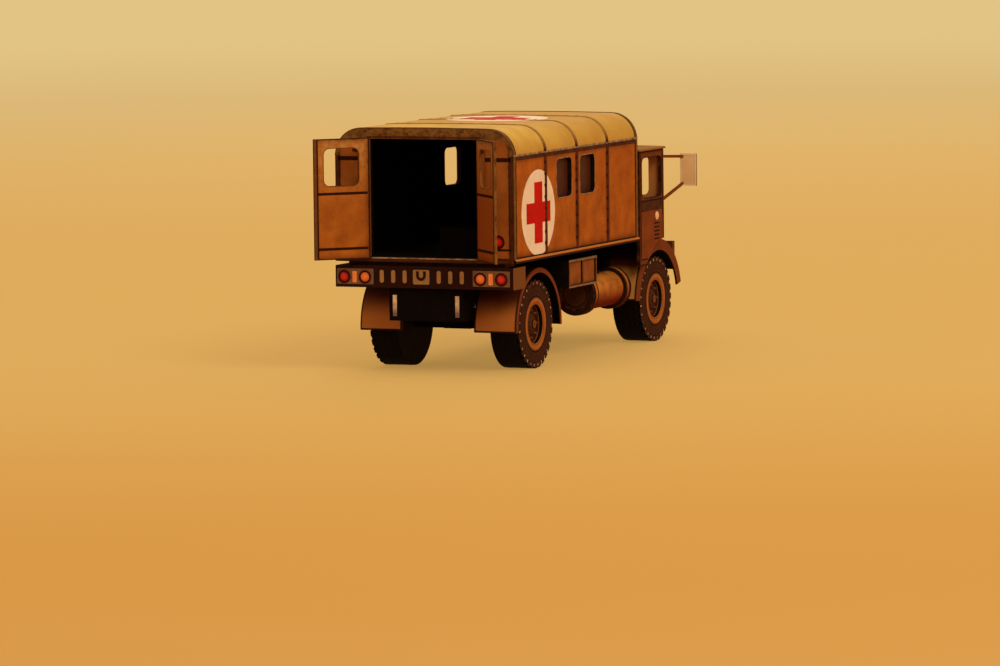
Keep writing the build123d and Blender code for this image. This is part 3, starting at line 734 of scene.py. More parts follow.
BLACK_CARD = Finish("black_card_print", Ink.BLACK, Ink.BLACK_SOFT, slot=Slot.BLACK, gloss=0.0)
LINE_INK = Finish("line_ink", Ink.LINE, Ink.OUTLINE, cloud=0.8, slot=Slot.BROWN)
CORNER_INK = Finish("corner_ink", Ink.BRAID, Ink.BRAID_DEEP, cloud=1.2, balance=0.4, slot=Slot.BROWN)
DIM_PRINT = Finish("dim_tan_print", Ink.DIM_TAN, Ink.EDGE, cloud=1.2, slot=Slot.BROWN)
LID_PRINT = Finish("lid_edge_print", Ink.LID, Ink.DIM_TAN, cloud=1.4)
NICK_PAPER = Finish("nick_paper", Ink.PAPER_WORN, Ink.EDGE, cloud=3.0, cloud_share=3.0, balance=0.35)
WORN_PAPER = Finish("worn_cut_paper", Ink.PAPER_WORN, Ink.EDGE, cloud=1.3, cloud_share=2.0, balance=0.5)
DISC_PRINT = Finish("disc_print", Ink.DISC, Ink.DISC_DEEP, balance=0.25, slot=Slot.NONE)
CROSS_PRINT = Finish("cross_print", Ink.CROSS, Ink.CROSS_DEEP, slot=Slot.NONE)
COPPER_PRINT = Finish("copper_print", Ink.COPPER, Ink.KHAKI)
SLOT_PRINT = Finish("bumper_slot_print", Ink.SLOT, Ink.LAMP_PLATE, slot=Slot.BROWN)
CAB_PRINT = Finish("cab_print", Ink.CAB, Ink.CAB_DEEP)
EDGE_PRINT = Finish("edge_print", Ink.EDGE, Ink.LINE, cloud=1.6, cloud_share=1.6)
PLATE_PRINT = Finish("lamp_plate_print", Ink.LAMP_PLATE, Ink.EDGE)
LAMP_RING = Finish("lamp_ring", Ink.LAMP_RING, Ink.BLACK, slot=Slot.LAMP)
SMALL_LAMP = Finish("side_lamp_print", Ink.PAPER, Ink.LAMP_AMBER, cloud=0.6, slot=Slot.LAMP)


class Shape:
    """A mesh in the making on one face of the model, which becomes one piece."""

    REACH = "reach"
    SMOOTH_BELOW = math.radians(32)

    def __init__(self, face: Face = REAR_PLANE) -> None:
        """Starts an empty mesh on a face."""
        self.face = face
        self.mesh = bmesh.new()
        self.reach = self.mesh.verts.layers.float.new(self.REACH)

    def _ring(self, points: Sequence[Vector], reach: float = 0.0) -> list[bmesh.types.BMVert]:
        """Adds a ring of corners, each with its distance from the turning axis."""
        corners = [self.mesh.verts.new(point) for point in points]
        for corner in corners:
            corner[self.reach] = reach
        return corners

    def _bridge(self, one: Sequence, two: Sequence, closed: bool = True) -> None:
        """Joins two rings, either of which may be a single corner."""
        count = max(len(one), len(two))
        for n in range(count if closed else count - 1):
            after = (n + 1) % count
            around = [one[n % len(one)], one[after % len(one)], two[after % len(two)], two[n % len(two)]]
            corners = list(dict.fromkeys(around))
            if len(corners) > 2:
                self.mesh.faces.new(corners)

    def slab(self, outline: Outline, low: float, high: float) -> "Shape":
        """Adds an outline as a slab from low to high above the face."""
        bottom, top = (self._ring([self.face.at(u, v, level) for u, v in outline]) for level in (low, high))
        self.mesh.faces.new(bottom)
        self.mesh.faces.new(top)
        self._bridge(bottom, top)
        return self

    def frame(self, outer: Outline, inner: Outline, low: float, high: float) -> "Shape":
        """Adds the strip between two outlines of as many points, from low to high above the face."""
        rings = [
            self._ring([self.face.at(u, v, level) for u, v in outline])
            for outline, level in ((outer, low), (outer, high), (inner, high), (inner, low))
        ]
        for number, ring in enumerate(rings):
            self._bridge(ring, rings[(number + 1) % len(rings)])
        return self

    def bar(self, u: float, v: float, width: float, height: float, top: float = 0.03,
            foot: float = SUNK) -> "Shape":
        """Adds a rectangle about its middle as a slab."""
        return self.slab(rectangle(u, v, width, height), foot, top)

    def plate(self, middle: Point2, size: Point2, corner: float, cuts: int, top: float = 0.04,
              foot: float = SUNK) -> "Shape":
        """Adds a rectangle with rounded corners as a slab."""
        return self.slab(rounded(*middle, *size, corner, cuts), foot, top)

    def rim(self, middle: Point2, size: Point2, corner: float, edge: float, top: float) -> "Shape":
        """Adds the cut edge round a window."""
        outer = rounded(*middle, size[0] + 2 * edge, size[1] + 2 * edge, corner + edge, 3)
        return self.frame(outer, rounded(*middle, *size, corner, 3), WINDOW_SUNK, top)

    def turned(self, profile: Outline, steps: int = 48, u: float = 0.0, v: float = 0.0,
               loop: bool = False) -> "Shape":
        """Adds a shape turned about the outward axis through a point of the face.

        Args:
            profile: Pairs of radius and level, from one end to the other.
            steps: Steps of the full turn.
            u: The axis along the face.
            v: The axis up the face.
            loop: Whether the profile's last pair joins its first, as in a ring.

        Returns:
            This shape.
        """
        rings = []
        for radius, level in profile:
            around = circle(u, v, radius, steps) if radius else [(u, v)]
            rings.append(self._ring([self.face.at(a, b, level) for a, b in around], radius))
        for one, two in zip(rings, rings[1:] + rings[:1] if loop else rings[1:]):
            self._bridge(one, two)
        if not loop:
            for ring in (rings[0], rings[-1]):
                if len(ring) > 2:
                    self.mesh.faces.new(ring)
        return self

    def rolled(self, profile: Outline, start: float, end: float, steps: int) -> "Shape":
        """Adds a closed section rolled part of the way round the outward axis.

        Args:
            profile: Pairs of radius and level round the section.
            start: First angle from the face's u direction, in degrees.
            end: Last angle.
            steps: Number of sections.

        Returns:
            This shape.
        """
        sections = []
        for step in range(steps):
            turn = math.radians(start + (end - start) * step / (steps - 1))
            points = [self.face.at(r * math.cos(turn), r * math.sin(turn), level) for r, level in profile]
            sections.append(points)
        return self.loft(sections)

    def loft(self, sections: Sequence[Sequence[Vector]]) -> "Shape":
        """Adds a solid through closed sections of as many points each."""
        rings = [self._ring(section) for section in sections]
        for one, two in zip(rings, rings[1:]):
            self._bridge(one, two)
        for ring in (rings[0], rings[-1]):
            self.mesh.faces.new(ring)
        return self

    def draped(self, outline: Outline, surface: Callable[[float], float], low: float, high: float,
               cut: float) -> "Shape":
        """Adds a slab that follows a surface curved across the truck.

        Args:
            outline: Convex outline in X and Y.
            surface: Height of the surface at a Y.
            low: Foot of the slab above the surface.
            high: Top of the slab above the surface.
            cut: Widest flat stretch across the truck.

        Returns:
            This shape.
        """
        sheet = bmesh.new()
        sheet.faces.new([sheet.verts.new((x, y, 0.0)) for x, y in outline])
        across = [y for _, y in outline]
        for number in range(math.floor(min(across) / cut), math.ceil(max(across) / cut)):
            parts = [*sheet.verts, *sheet.edges, *sheet.faces]
            bmesh.ops.bisect_plane(sheet, geom=parts, plane_co=(0, number * cut, 0), plane_no=LEFTWARD,
                                   dist=cut / 100)
        raised = bmesh.ops.extrude_face_region(sheet, geom=[*sheet.faces], use_keep_orig=True)
        tops = {item for item in raised["geom"] if isinstance(item, bmesh.types.BMVert)}
        for corner in sheet.verts:
            corner.co.z = surface(corner.co.y) + (high if corner in tops else low)
        carried = bpy.data.meshes.new("draped")
        sheet.to_mesh(carried)
        sheet.free()
        self.mesh.from_mesh(carried)
        bpy.data.meshes.remove(carried)
        return self

    def made(self, name: str, finish: Finish) -> Piece:
        """Turns the mesh into a piece.

        Args:
            name: The piece's name.
            finish: Its finish.

        Returns:
            The new object, at the origin and in metres.
        """
        bmesh.ops.recalc_face_normals(self.mesh, faces=self.mesh.faces)
        bmesh.ops.scale(self.mesh, vec=(MM,) * 3, verts=self.mesh.verts)
        data = bpy.data.meshes.new(name)
        self.mesh.to_mesh(data)
        self.mesh.free()
        return new_piece(name, data, finish)


def new_piece(name: str, data: bpy.types.Mesh, finish: Finish) -> Piece:
    """Links a mesh as a piece, smooth but for its sharp edges."""
    data.materials.clear()
    data.materials.append(finish.material())
    data.polygons.foreach_set("use_smooth", [True] * len(data.polygons))
    data.set_sharp_from_angle(angle=Shape.SMOOTH_BELOW)
    piece = bpy.data.objects.new(name, data)
    bpy.context.scene.collection.objects.link(piece)
    return piece


@dataclass
class Path:
    """Lines on the model's surface, each point with the way out of the surface and a way along it."""

    points: list[Vector] = field(default_factory=list)
    outward: list[Vector] = field(default_factory=list)
    sideways: list[Point3] = field(default_factory=list)
    edges: list[tuple[int, int]] = field(default_factory=list)

    def line(self, stations: Sequence[tuple[Vector, Vector]], sideways: Point3,
             closed: bool = False) -> "Path":
        """Adds one line.

        Args:
            stations: Each point with the way out of the surface there.
            sideways: Way that the studs' length lies along.
            closed: Whether the line runs back to its start.

        Returns:
            This path.
        """
        first = len(self.points)
        for point, out in stations:
            self.points.append(point)
            self.outward.append(out)
            self.sideways.append(sideways)
        last = len(self.points) - 1
        self.edges += [(n, n + 1) for n in range(first, last)]
        if closed:
            self.edges.append((last, first))
        return self

    def straight(self, ends: Sequence[Sequence[float]], out: Point3, sideways: Point3) -> "Path":
        """Adds a straight line through its ends, with one way out all along it."""
        return self.line([(Vector(end), Vector(out)) for end in ends], sideways)

    def ring(self, face: Face, radius: float, level: float, radial: bool = False, steps: int = 112,
             start: float = 0.0) -> "Path":
        """Adds a circle about a face's origin, its studs out of the face or, if radial, off its middle."""
        stations = []
        for u, v in circle(0.0, 0.0, radius, steps, start, start + 360.0):
            away = u / radius * Vector(face.along) + v / radius * Vector(face.up)
            stations.append((face.at(u, v, level), away if radial else Vector(face.out)))
        return self.line(stations, face.out if radial else face.along, closed=True)

    def carrier(self, name: str) -> Piece:
        """The path as an object of edges in metres, with its directions as attributes."""
        data = bpy.data.meshes.new(name)
        data.from_pydata([point * MM for point in self.points], self.edges, [])
        for attribute, vectors in (("outward", self.outward), ("sideways", self.sideways)):
            layer = data.attributes.new(attribute, "FLOAT_VECTOR", "POINT")
            layer.data.foreach_set("vector", [part for vector in vectors for part in vector])
        carrier = bpy.data.objects.new(name, data)
        bpy.context.scene.collection.objects.link(carrier)
        return carrier


class PathTree(Tree):
    """A Geometry Nodes group that dresses a path, with named inputs for its sizes."""

    GEOMETRY = "Geometry"

    def __init__(self, name: str, inputs: Mapping[str, str]) -> None:
        """Makes the group and its inputs.

        Args:
            name: Name of the group.
            inputs: Socket type of each named input.
        """
        super().__init__(bpy.data.node_groups.new(name, "GeometryNodeTree"))
        ways = [(self.GEOMETRY, "Geometry", "INPUT"), (self.GEOMETRY, "Geometry", "OUTPUT")]
        ways += [(label, kind, "INPUT") for label, kind in inputs.items()]
        self.sockets = {}
        for label, kind, way in ways:
            socket = self.tree.interface.new_socket(label, in_out=way, socket_type=f"NodeSocket{kind}")
            if way == "INPUT":
                self.sockets[label] = socket.identifier
        self.given = self.add("NodeGroupInput")

    def take(self, label: str) -> Field:
        """A named input of the group."""
        return self.given.part(self.sockets[label])

    def attribute(self, name: str) -> Field:
        """A direction kept on the path."""
        kind = "GeometryNodeInputNamedAttribute"
        return self.add(kind, {"Name": name}, "Attribute", data_type="FLOAT_VECTOR")

    def close(self, geometry: Field) -> None:
        """Realizes and paints the geometry and hands it out."""
        real = self.add("GeometryNodeRealizeInstances", {"Geometry": geometry})
        painted = self.add("GeometryNodeSetMaterial", {"Geometry": real, "Material": self.take("Material")})
        node = self.tree.nodes.new("NodeGroupOutput")
        self.tree.links.new(painted.socket, node.inputs[0])

    def run(self, name: str, path: Path, finish: Finish, sizes: Mapping[str, object]) -> Piece:
        """Dresses a path and keeps the result as a plain mesh.

        Args:
            name: The new piece's name.
            path: The path.
            finish: The piece's finish.
            sizes: A value for each named input.

        Returns:
            The piece.
        """
        carrier = path.carrier(f"{name}_path")
        modifier = carrier.modifiers.new(name, "NODES")
        modifier.node_group = self.tree
        for label, value in {**sizes, "Material": finish.material()}.items():
            modifier[self.sockets[label]] = value
        graph = bpy.context.evaluated_depsgraph_get()
        data = bpy.data.meshes.new_from_object(carrier.evaluated_get(graph))
        carrier.modifiers.remove(modifier)
        bpy.data.objects.remove(carrier)
        data.name = name
        return new_piece(name, data, finish)


class Dresser:
    """The two path groups, each made once: studs set along a path, and a strip laid along it."""

    SEED = 11

    def __init__(self) -> None:
        """Makes both groups."""
        self.studs = self._stud_tree()
        self.strips = self._strip_tree()

    def _stud_tree(self) -> PathTree:
        """Group that sets equal studs along each line of a path."""
        tree = PathTree("studs_on_path", {
            "Count": "Int", "Corners": "Int", "Foot Radius": "Float", "Head Radius": "Float",
            "Height": "Float", "Turn": "Float", "Stretch": "Vector", "Unevenness": "Float",
            "Material": "Material",
        })
        curve = tree.add("GeometryNodeMeshToCurve", {"Mesh": tree.take(tree.GEOMETRY)})
        spaced = {"Curve": curve, "Count": tree.take("Count")}
        evenly = tree.add("GeometryNodeResampleCurve", spaced, mode="COUNT")
        stud = tree.add("GeometryNodeMeshCone", {
            "Vertices": tree.take("Corners"), "Radius Top": tree.take("Head Radius"),
            "Radius Bottom": tree.take("Foot Radius"), "Depth": tree.take("Height"),
        }, "Mesh")
        turn = tree.add("ShaderNodeCombineXYZ", {"Z": tree.take("Turn")})
        stud = tree.add("GeometryNodeTransform", {"Geometry": stud, "Rotation": turn})
        align = "FunctionNodeAlignRotationToVector"
        standing = tree.add(align, {"Vector": tree.attribute("outward")}, axis="Z")
        sideways = {"Rotation": standing, "Vector": tree.attribute("sideways")}
        laid = tree.add(align, sideways, axis="X", pivot_axis="Z")
        uneven = tree.take("Unevenness")
        share = tree.add("FunctionNodeRandomValue", {
            "Min_001": 1.0 - uneven, "Max_001": uneven + 1.0, "Seed": self.SEED,
        }, data_type="FLOAT")
        stretch = {"Vector": tree.take("Stretch"), "Scale": share}
        scale = tree.add("ShaderNodeVectorMath", stretch, operation="SCALE")
        tree.close(tree.add("GeometryNodeInstanceOnPoints", {
            "Points": evenly, "Instance": stud, "Rotation": laid, "Scale": scale,
        }))
        return tree

    def _strip_tree(self) -> PathTree:
        """Group that lays a flat strip of card along each line of a path."""
        tree = PathTree("strip_on_path", {"Width": "Float", "Thickness": "Float", "Material": "Material"})
        curve = tree.add("GeometryNodeMeshToCurve", {"Mesh": tree.take(tree.GEOMETRY)})
        outward = {"Curve": curve, "Normal": tree.attribute("outward")}
        upright = tree.add("GeometryNodeSetCurveNormal", outward, mode="FREE")
        section = tree.add("GeometryNodeCurvePrimitiveQuadrilateral", {
            "Width": tree.take("Thickness"), "Height": tree.take("Width"),
        }, mode="RECTANGLE")
        tree.close(tree.add("GeometryNodeCurveToMesh", {
            "Curve": upright, "Profile Curve": section, "Fill Caps": True,
        }))
        return tree

    def rivets(self, name: str, path: Path, finish: Finish, count: int, radius: float, height: float,
               corners: int = 10, uneven: float = 0.08) -> Piece:
        """Domed rivets or bolts, count of them along each line of a path."""
        return self.studs.run(name, path, finish, {
            "Count": count, "Corners": corners, "Foot Radius": radius * MM, "Head Radius": 0.6 * radius * MM,
            "Height": height * MM, "Turn": math.pi / corners, "Stretch": (1.0,) * 3, "Unevenness": uneven,
        })

    def blocks(self, name: str, path: Path, finish: Finish, count: int, size: Point3, taper: float = 1.0,
               corners: int = 4) -> Piece:
        """Blocks along a path, their size given sideways, across it and outward."""
        side = math.sqrt(0.5)
        return self.studs.run(name, path, finish, {
            "Count": count, "Corners": corners, "Foot Radius": side * MM, "Head Radius": side * taper * MM,
            "Height": MM, "Turn": math.pi / corners, "Stretch": size, "Unevenness": 0.0,
        })

    def strip(self, name: str, path: Path, finish: Finish, width: float, thickness: float) -> Piece:
        """Flat strips centred on a path's lines."""
        return self.strips.run(name, path, finish, {"Width": width * MM, "Thickness": thickness * MM})


@dataclass(frozen=True)
class Hoop:
    """Cross-section of a folded cover: upright sides, rounded corners and a crowned top."""

    half: float
    foot: float
    shoulder: float
    radius: float
    crown: float = 0.0

    @property
    def top(self) -> float:
        """Height where the rounded corners end."""
        return self.shoulder + self.radius

    def inset(self, wall: float) -> "Hoop":
        """The same section drawn in by a wall."""
        return replace(self, half=self.half - wall, radius=self.radius - wall)

    def crown_height(self, y: float) -> float:
        """Height of the top at a Y between the rounded corners."""
        flat = self.half - self.radius
        return self.top + self.crown * (1 - (y / flat) ** 2)

    def stations(self, corner_steps: int = 10, top_steps: int = 16) -> list[tuple[Point2, Point2]]:
        """Points over the hoop from its left foot to its right, each with the way outwards, in Y and Z."""
        flat = self.half - self.radius
        left = [((self.half, self.foot), (1.0, 0.0))]
        for step in range(corner_steps + 1):
            turn = math.pi / 2 * step / corner_steps
            way = (math.cos(turn), math.sin(turn))
            left.append(((flat + self.radius * way[0], self.shoulder + self.radius * way[1]), way))
        slope = 2 * self.crown / flat
        top = []
        for step in range(1, top_steps):
            y = flat * (1 - 2 * step / top_steps)
            lean = math.atan(slope * y / flat)
            top.append(((y, self.crown_height(y)), (math.sin(lean), math.cos(lean))))
        right = [((-y, z), (-a, b)) for (y, z), (a, b) in reversed(left)]
        return left + top + right

    def ring(self, x: float, corner_steps: int = 10, top_steps: int = 16) -> list[Vector]:
        """Points over the hoop at x."""
        return [Vector((x, *point)) for point, _ in self.stations(corner_steps, top_steps)]

    def shell(self, x: float, wall: float) -> list[Vector]:
        """Closed section at x of a wall that follows the hoop."""
        return self.ring(x) + self.inset(wall).ring(x)[::-1]

    def line(self, x: float, lift: float) -> list[tuple[Vector, Vector]]:
        """Stations of a path round the hoop at x, lifted off it."""
        return [
            (Vector((x, y + lift * a, z + lift * b)), Vector((0.0, a, b)))
            for (y, z), (a, b) in self.stations()
        ]


class Assembly(ABC):
    """A sub-assembly of the model, whose pieces ride on its bodies."""

    @abstractmethod
    def build(self) -> Pieces:
        """Makes and dresses the sub-assembly's pieces."""

    @staticmethod
    def keep(piece: Piece, finish: Finish, *replaced: str, body: str = TRUCK) -> Piece:
        """Seats a finished piece on its body.

        Args:
            piece: The piece.
            finish: Not used.
            replaced: Construction pieces that it stands for.
            body: Body that carries it.

        Returns:
            The piece.
        """
        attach(piece, body)
        if replaced:
            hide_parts(*replaced)
        return piece

    def put(self, shape: Shape, name: str, finish: Finish, *replaced: str, body: str = TRUCK) -> Piece:
        """Makes a shape's piece and seats it on its body."""
        return self.keep(shape.made(name, finish), finish, *replaced, body=body)


@dataclass
class LoadBody(Assembly):
    """Box body: printed walls, rolled roof sheet, riveted seams, trim and red crosses."""

    dresser: Dresser
    wall: float = 0.8
    shoulder_radius: float = 4.7
    crown: float = 0.1
    panels: int = 4
    seam_width: float = 0.95
    seam_thickness: float = 0.1
    rivet_count: int = 38
    rivet_radius: float = 0.42
    rivet_height: float = 0.16
    rivet_shift: float = 0.28
    end_band: float = 0.9
    rail_height: float = 0.75
    disc_x: float = 10.7
    disc_z: float = 8.2  # above the foot of the body
    disc_radius: float = 7.4
    roof_disc_x: float = 32.0
    roof_disc_radius: float = 9.0
    cross_share: float = 0.71  # of the disc's diameter
    roof_cross_share: float = 0.64
    print_step: float = 0.04
    drape_cut: float = 0.75
    window_edge: float = 0.13
    post_width: float = 0.74
    sill: float = 10.2
    window_height: float = 6.7
    corner: float = 1.0
    jamb: float = 6.65
    lamp_y: float = 13.7
    lamp_z: float = 22.95
    windows: Mapping[Side, tuple[tuple[int, float, float], ...]] = field(default_factory=lambda: {
        Side.RIGHT: ((2, 1.3, 6.8), (3, -2.3, 6.8)),  # panel from the rear, shift from its middle, width
        Side.LEFT: ((4, -0.7, 7.2),),
    })
    rail: Outline = ((0.0, 0.0), (0.0, 0.12), (0.28, 0.3), (0.38, 0.5), (0.36, 0.66), (0.2, 0.76),
                     (0.0, 0.79))
    lamp_ring: Outline = ((1.2, SUNK), (1.2, 0.05), (1.05, 0.09), (0.78, 0.09), (0.78, SUNK))
    lamp_dome: Outline = ((0.8, SUNK), (0.8, 0.06), (0.62, 0.14), (0.36, 0.19), (0.0, 0.21))
    jamb_line: Point2 = (21.6, 0.36)  # height and width of the lamps' line

    def __post_init__(self) -> None:
        """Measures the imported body."""
        sheet, side = Extent.of("body_roof"), Extent.of("body_side_left")
        self.rear_x, self.front_x = sheet.low.x, sheet.high.x
        self.length = self.front_x - self.rear_x
        self.foot, self.eaves = side.low.z, sheet.low.z
        self.hoop = Hoop(sheet.high.y, self.foot, self.eaves, self.shoulder_radius, self.crown)
        self.pitch = self.length / self.panels

    def build(self) -> Pieces:
        """Makes and dresses the body's pieces."""
        self.dress_walls()
        yield self.roof()
        yield from self.hoops()
        for side in Side:
            yield from self.side_prints(side)
        yield from self.roof_prints()
        yield from self.rear_prints()

    def dress_walls(self) -> None:
        """Gives the flat walls, floor and inner pieces their finishes."""
        height, width = self.eaves - self.foot, 2 * self.hoop.half
        for side in Side:
            printed = side_face(side, self.rear_x, 0.0, self.foot + self.rail_height)
            WallFinish(f"side_print_{side.word}", Ink.KHAKI, Ink.KHAKI_DEEP, face=printed,
                       size=(self.length, height - self.rail_height), pitch=self.pitch,
                       outline_width=0.3, fade=1.6, fade_share=0.6, edge=Ink.BLACK,
                       bare=Ink.LINE).dress(f"body_side_{side.word}")
        rear = end_face(self.rear_x, -self.hoop.half, self.foot)
        header = Extent.of("rear_door_left").high.z - self.foot
        WallFinish("rear_wall_print", Ink.REAR, Ink.REAR_DEEP, face=rear, edge=Ink.BLACK,
                   bare=Ink.BLACK_SOFT, size=(width, 2 * height), outline_width=0.95, fade=2.2,
                   fade_share=0.3, upper=Ink.BRAID, upper_deep=Ink.BRAID_DEEP, upper_share=1.0,
                   upper_span=(header - 0.4, header)).dress("rear_wall")
        front = end_face(self.front_x, -self.hoop.half, self.foot, forward=True)
        WallFinish("bulkhead_print", Ink.KHAKI_DEEP, Ink.EDGE, face=front,
                   size=(width, 2 * height), outline_width=0.6, fade=3.0).dress("front_bulkhead")
        Finish("blind_window_print", Ink.BLIND, Ink.BLIND_DEEP, slot=Slot.BROWN,
               coat=0.1, roughness=0.6).dress("window_backing_right")
        WallFinish("floor_card", Ink.EDGE, Ink.LINE, face=rear, size=(width, self.wall),
                   edge=Ink.BLACK, bare=Ink.BLACK_SOFT, outline_width=0.15, fade=0.3).dress("load_floor")
        BLACK_CARD.dress("inner_bench")

    def roof(self) -> Piece:
        """Roof sheet with its two rounded shoulders."""
        finish = RoofFinish("roof_print", Ink.ROOF, Ink.ROOF_DEEP, slot=Slot.ROOF, cloud=5.0,
                            centre=(0.0, 0.0, self.eaves), shoulder=self.hoop.radius)
        roof = replace(self.hoop, foot=self.eaves)
        sections = [roof.shell(self.rear_x + step / 4 * self.length, self.wall) for step in range(5)]
        return self.put(Shape().loft(sections), "roof_sheet", finish, "body_roof")

    def hoops(self) -> Pieces:
        """Riveted seams between the panels, and the dark bands round both ends."""
        hoop = replace(self.hoop, foot=self.foot + self.rail_height)
        seams, rivets, ends, beads = (Path() for _ in range(4))
        for number in range(1, self.panels):
            x = self.rear_x + number * self.pitch
            seams.line(hoop.line(x, 0.0), FORWARD)
            rivets.line(hoop.line(x - self.rivet_shift, 0.02), FORWARD)
        for x, inward in ((self.rear_x, 1), (self.front_x, -1)):
            ends.line(hoop.line(x + inward * self.end_band / 2, 0.0), FORWARD)
            beads.line(hoop.line(x + inward * (self.end_band + 0.1), 0.0), FORWARD)
        ink = SeamFinish("seam_ink", Ink.SEAM, Ink.OUTLINE, cloud=1.6, slot=Slot.BROWN,
                         centre=(0.0, 0.0, self.eaves))
        dark = replace(ink, name="rivet_ink", tone=Ink.OUTLINE, deep=Ink.LINE, cloud=0.6)
        lay = self.dresser.strip
        yield self.keep(lay("seam_strips", seams, ink, self.seam_width, 2 * self.seam_thickness), ink)
        heads = self.dresser.rivets("seam_rivets", rivets, dark, self.rivet_count, self.rivet_radius,
                                    self.rivet_height)
        yield self.keep(heads, dark)
        yield self.keep(lay("end_bands", ends, CORNER_INK, self.end_band, 0.12), CORNER_INK)
        yield self.keep(lay("end_beads", beads, LINE_INK, 0.28, 0.14), LINE_INK)

    def side_prints(self, side: Side) -> Pieces:
        """What is laid on one side wall: eaves strip, foot rail, disc, cross and window edges."""
        face = side_face(side, self.rear_x, side.value * self.hoop.half, self.foot)
        word, height, middle, step = side.word, self.eaves - self.foot, self.length / 2, self.print_step
        strip = Shape(face).bar(middle, height - 0.15, self.length, 1.0, 0.05)
        yield self.put(strip, f"eaves_strip_{word}", EDGE_PRINT)
        ridge = Shape(face).bar(middle, height + 0.2, self.length, 0.32, 0.11, foot=0.0)
        yield self.put(ridge, f"eaves_ridge_{word}", WORN_PAPER)
        sections = [[face.at(u, v, level) for level, v in self.rail] for u in (0.0, self.length)]
        yield self.put(Shape(face).loft(sections), f"foot_rail_{word}", COPPER_PRINT)
        line = Shape(face).bar(middle, self.rail_height + 0.16, self.length, 0.24, 0.05)
        yield self.put(line, f"foot_line_{word}", LINE_INK)
        disc = Shape(face).slab(circle(self.disc_x, self.disc_z, self.disc_radius, FINE), -step, step)
        yield self.put(disc, f"side_disc_{word}", DISC_PRINT)
        arms = Shape(face)
        for part in cross(self.disc_x, self.disc_z, 2 * self.disc_radius * self.cross_share):
            arms.slab(part, 0.0, 2 * step)
        yield self.put(arms, f"side_cross_{word}", CROSS_PRINT)
        rims = Shape(face)
        for panel, shift, width in self.windows[side]:
            window = (panel - 0.5) * self.pitch + shift, self.sill + self.window_height / 2
            rims.rim(window, (width, self.window_height), self.corner, self.window_edge, 0.05)
        yield self.put(rims, f"window_rims_{word}", WORN_PAPER)

    def roof_prints(self) -> Pieces:
        """Disc and cross on top of the roof."""
        x, top, step = self.rear_x + self.roof_disc_x, self.hoop.crown_height, self.print_step
        round_disc = circle(x, 0.0, self.roof_disc_radius, FINE)
        yield self.put(Shape().draped(round_disc, top, -step, step, self.drape_cut), "roof_disc", DISC_PRINT)
        arms = Shape()
        for part in cross(x, 0.0, 2 * self.roof_disc_radius * self.roof_cross_share):
            arms.draped(part, top, 0.0, 2 * step, self.drape_cut)
        yield self.put(arms, "roof_cross", CROSS_PRINT)

    def rear_prints(self) -> Pieces:
        """What is laid on the rear wall: sill edge, header ledge, jamb lines and round lamps."""
        face = end_face(self.rear_x, 0.0, 0.0)
        opening, floor_top = self.hoop.half - self.jamb, self.foot + self.wall
        header = Extent.of("rear_door_left").high.z - 0.2
        sill = Shape(face).bar(0.0, floor_top - 0.11, 2 * opening, 0.22, 0.1)
        yield self.put(sill, "sill_edge", WORN_PAPER)
        ledge = Shape(face).bar(0.0, header + 0.3, 2 * opening + 1.2, 0.34, 0.09)
        yield self.put(ledge, "header_ledge", EDGE_PRINT)
        lines, posts, rings, lamps = (Shape(face) for _ in range(4))
        middle = (opening + self.hoop.half) / 2 + 0.4
        for side in Side:
            y = side.value
            for level, tall in (self.jamb_line, (self.eaves - 0.5, 0.7)):
                lines.bar(y * middle, level, self.jamb - 1.9, tall)
            lines.bar(y * (opening + 0.18), (floor_top + header) / 2, 0.36, header - floor_top)
            posts.bar(y * (self.hoop.half - 0.4), (self.foot + self.eaves) / 2, self.post_width,
                      self.eaves - self.foot - 0.1)
            rings.turned(self.lamp_ring, 40, y * self.lamp_y, self.lamp_z, loop=True)
            lamps.turned(self.lamp_dome, 40, y * self.lamp_y, self.lamp_z)
        yield self.put(lines, "jamb_lines", LINE_INK)
        yield self.put(posts, "corner_posts", EDGE_PRINT)
        yield self.put(rings, "jamb_lamp_rings", LAMP_RING)
        finish = DialFinish("jamb_lamp_red", Ink.LAMP_RED, Ink.LAMP_RED_RIM, radius=0.8)
        yield self.put(lamps, "jamb_lamps", finish)


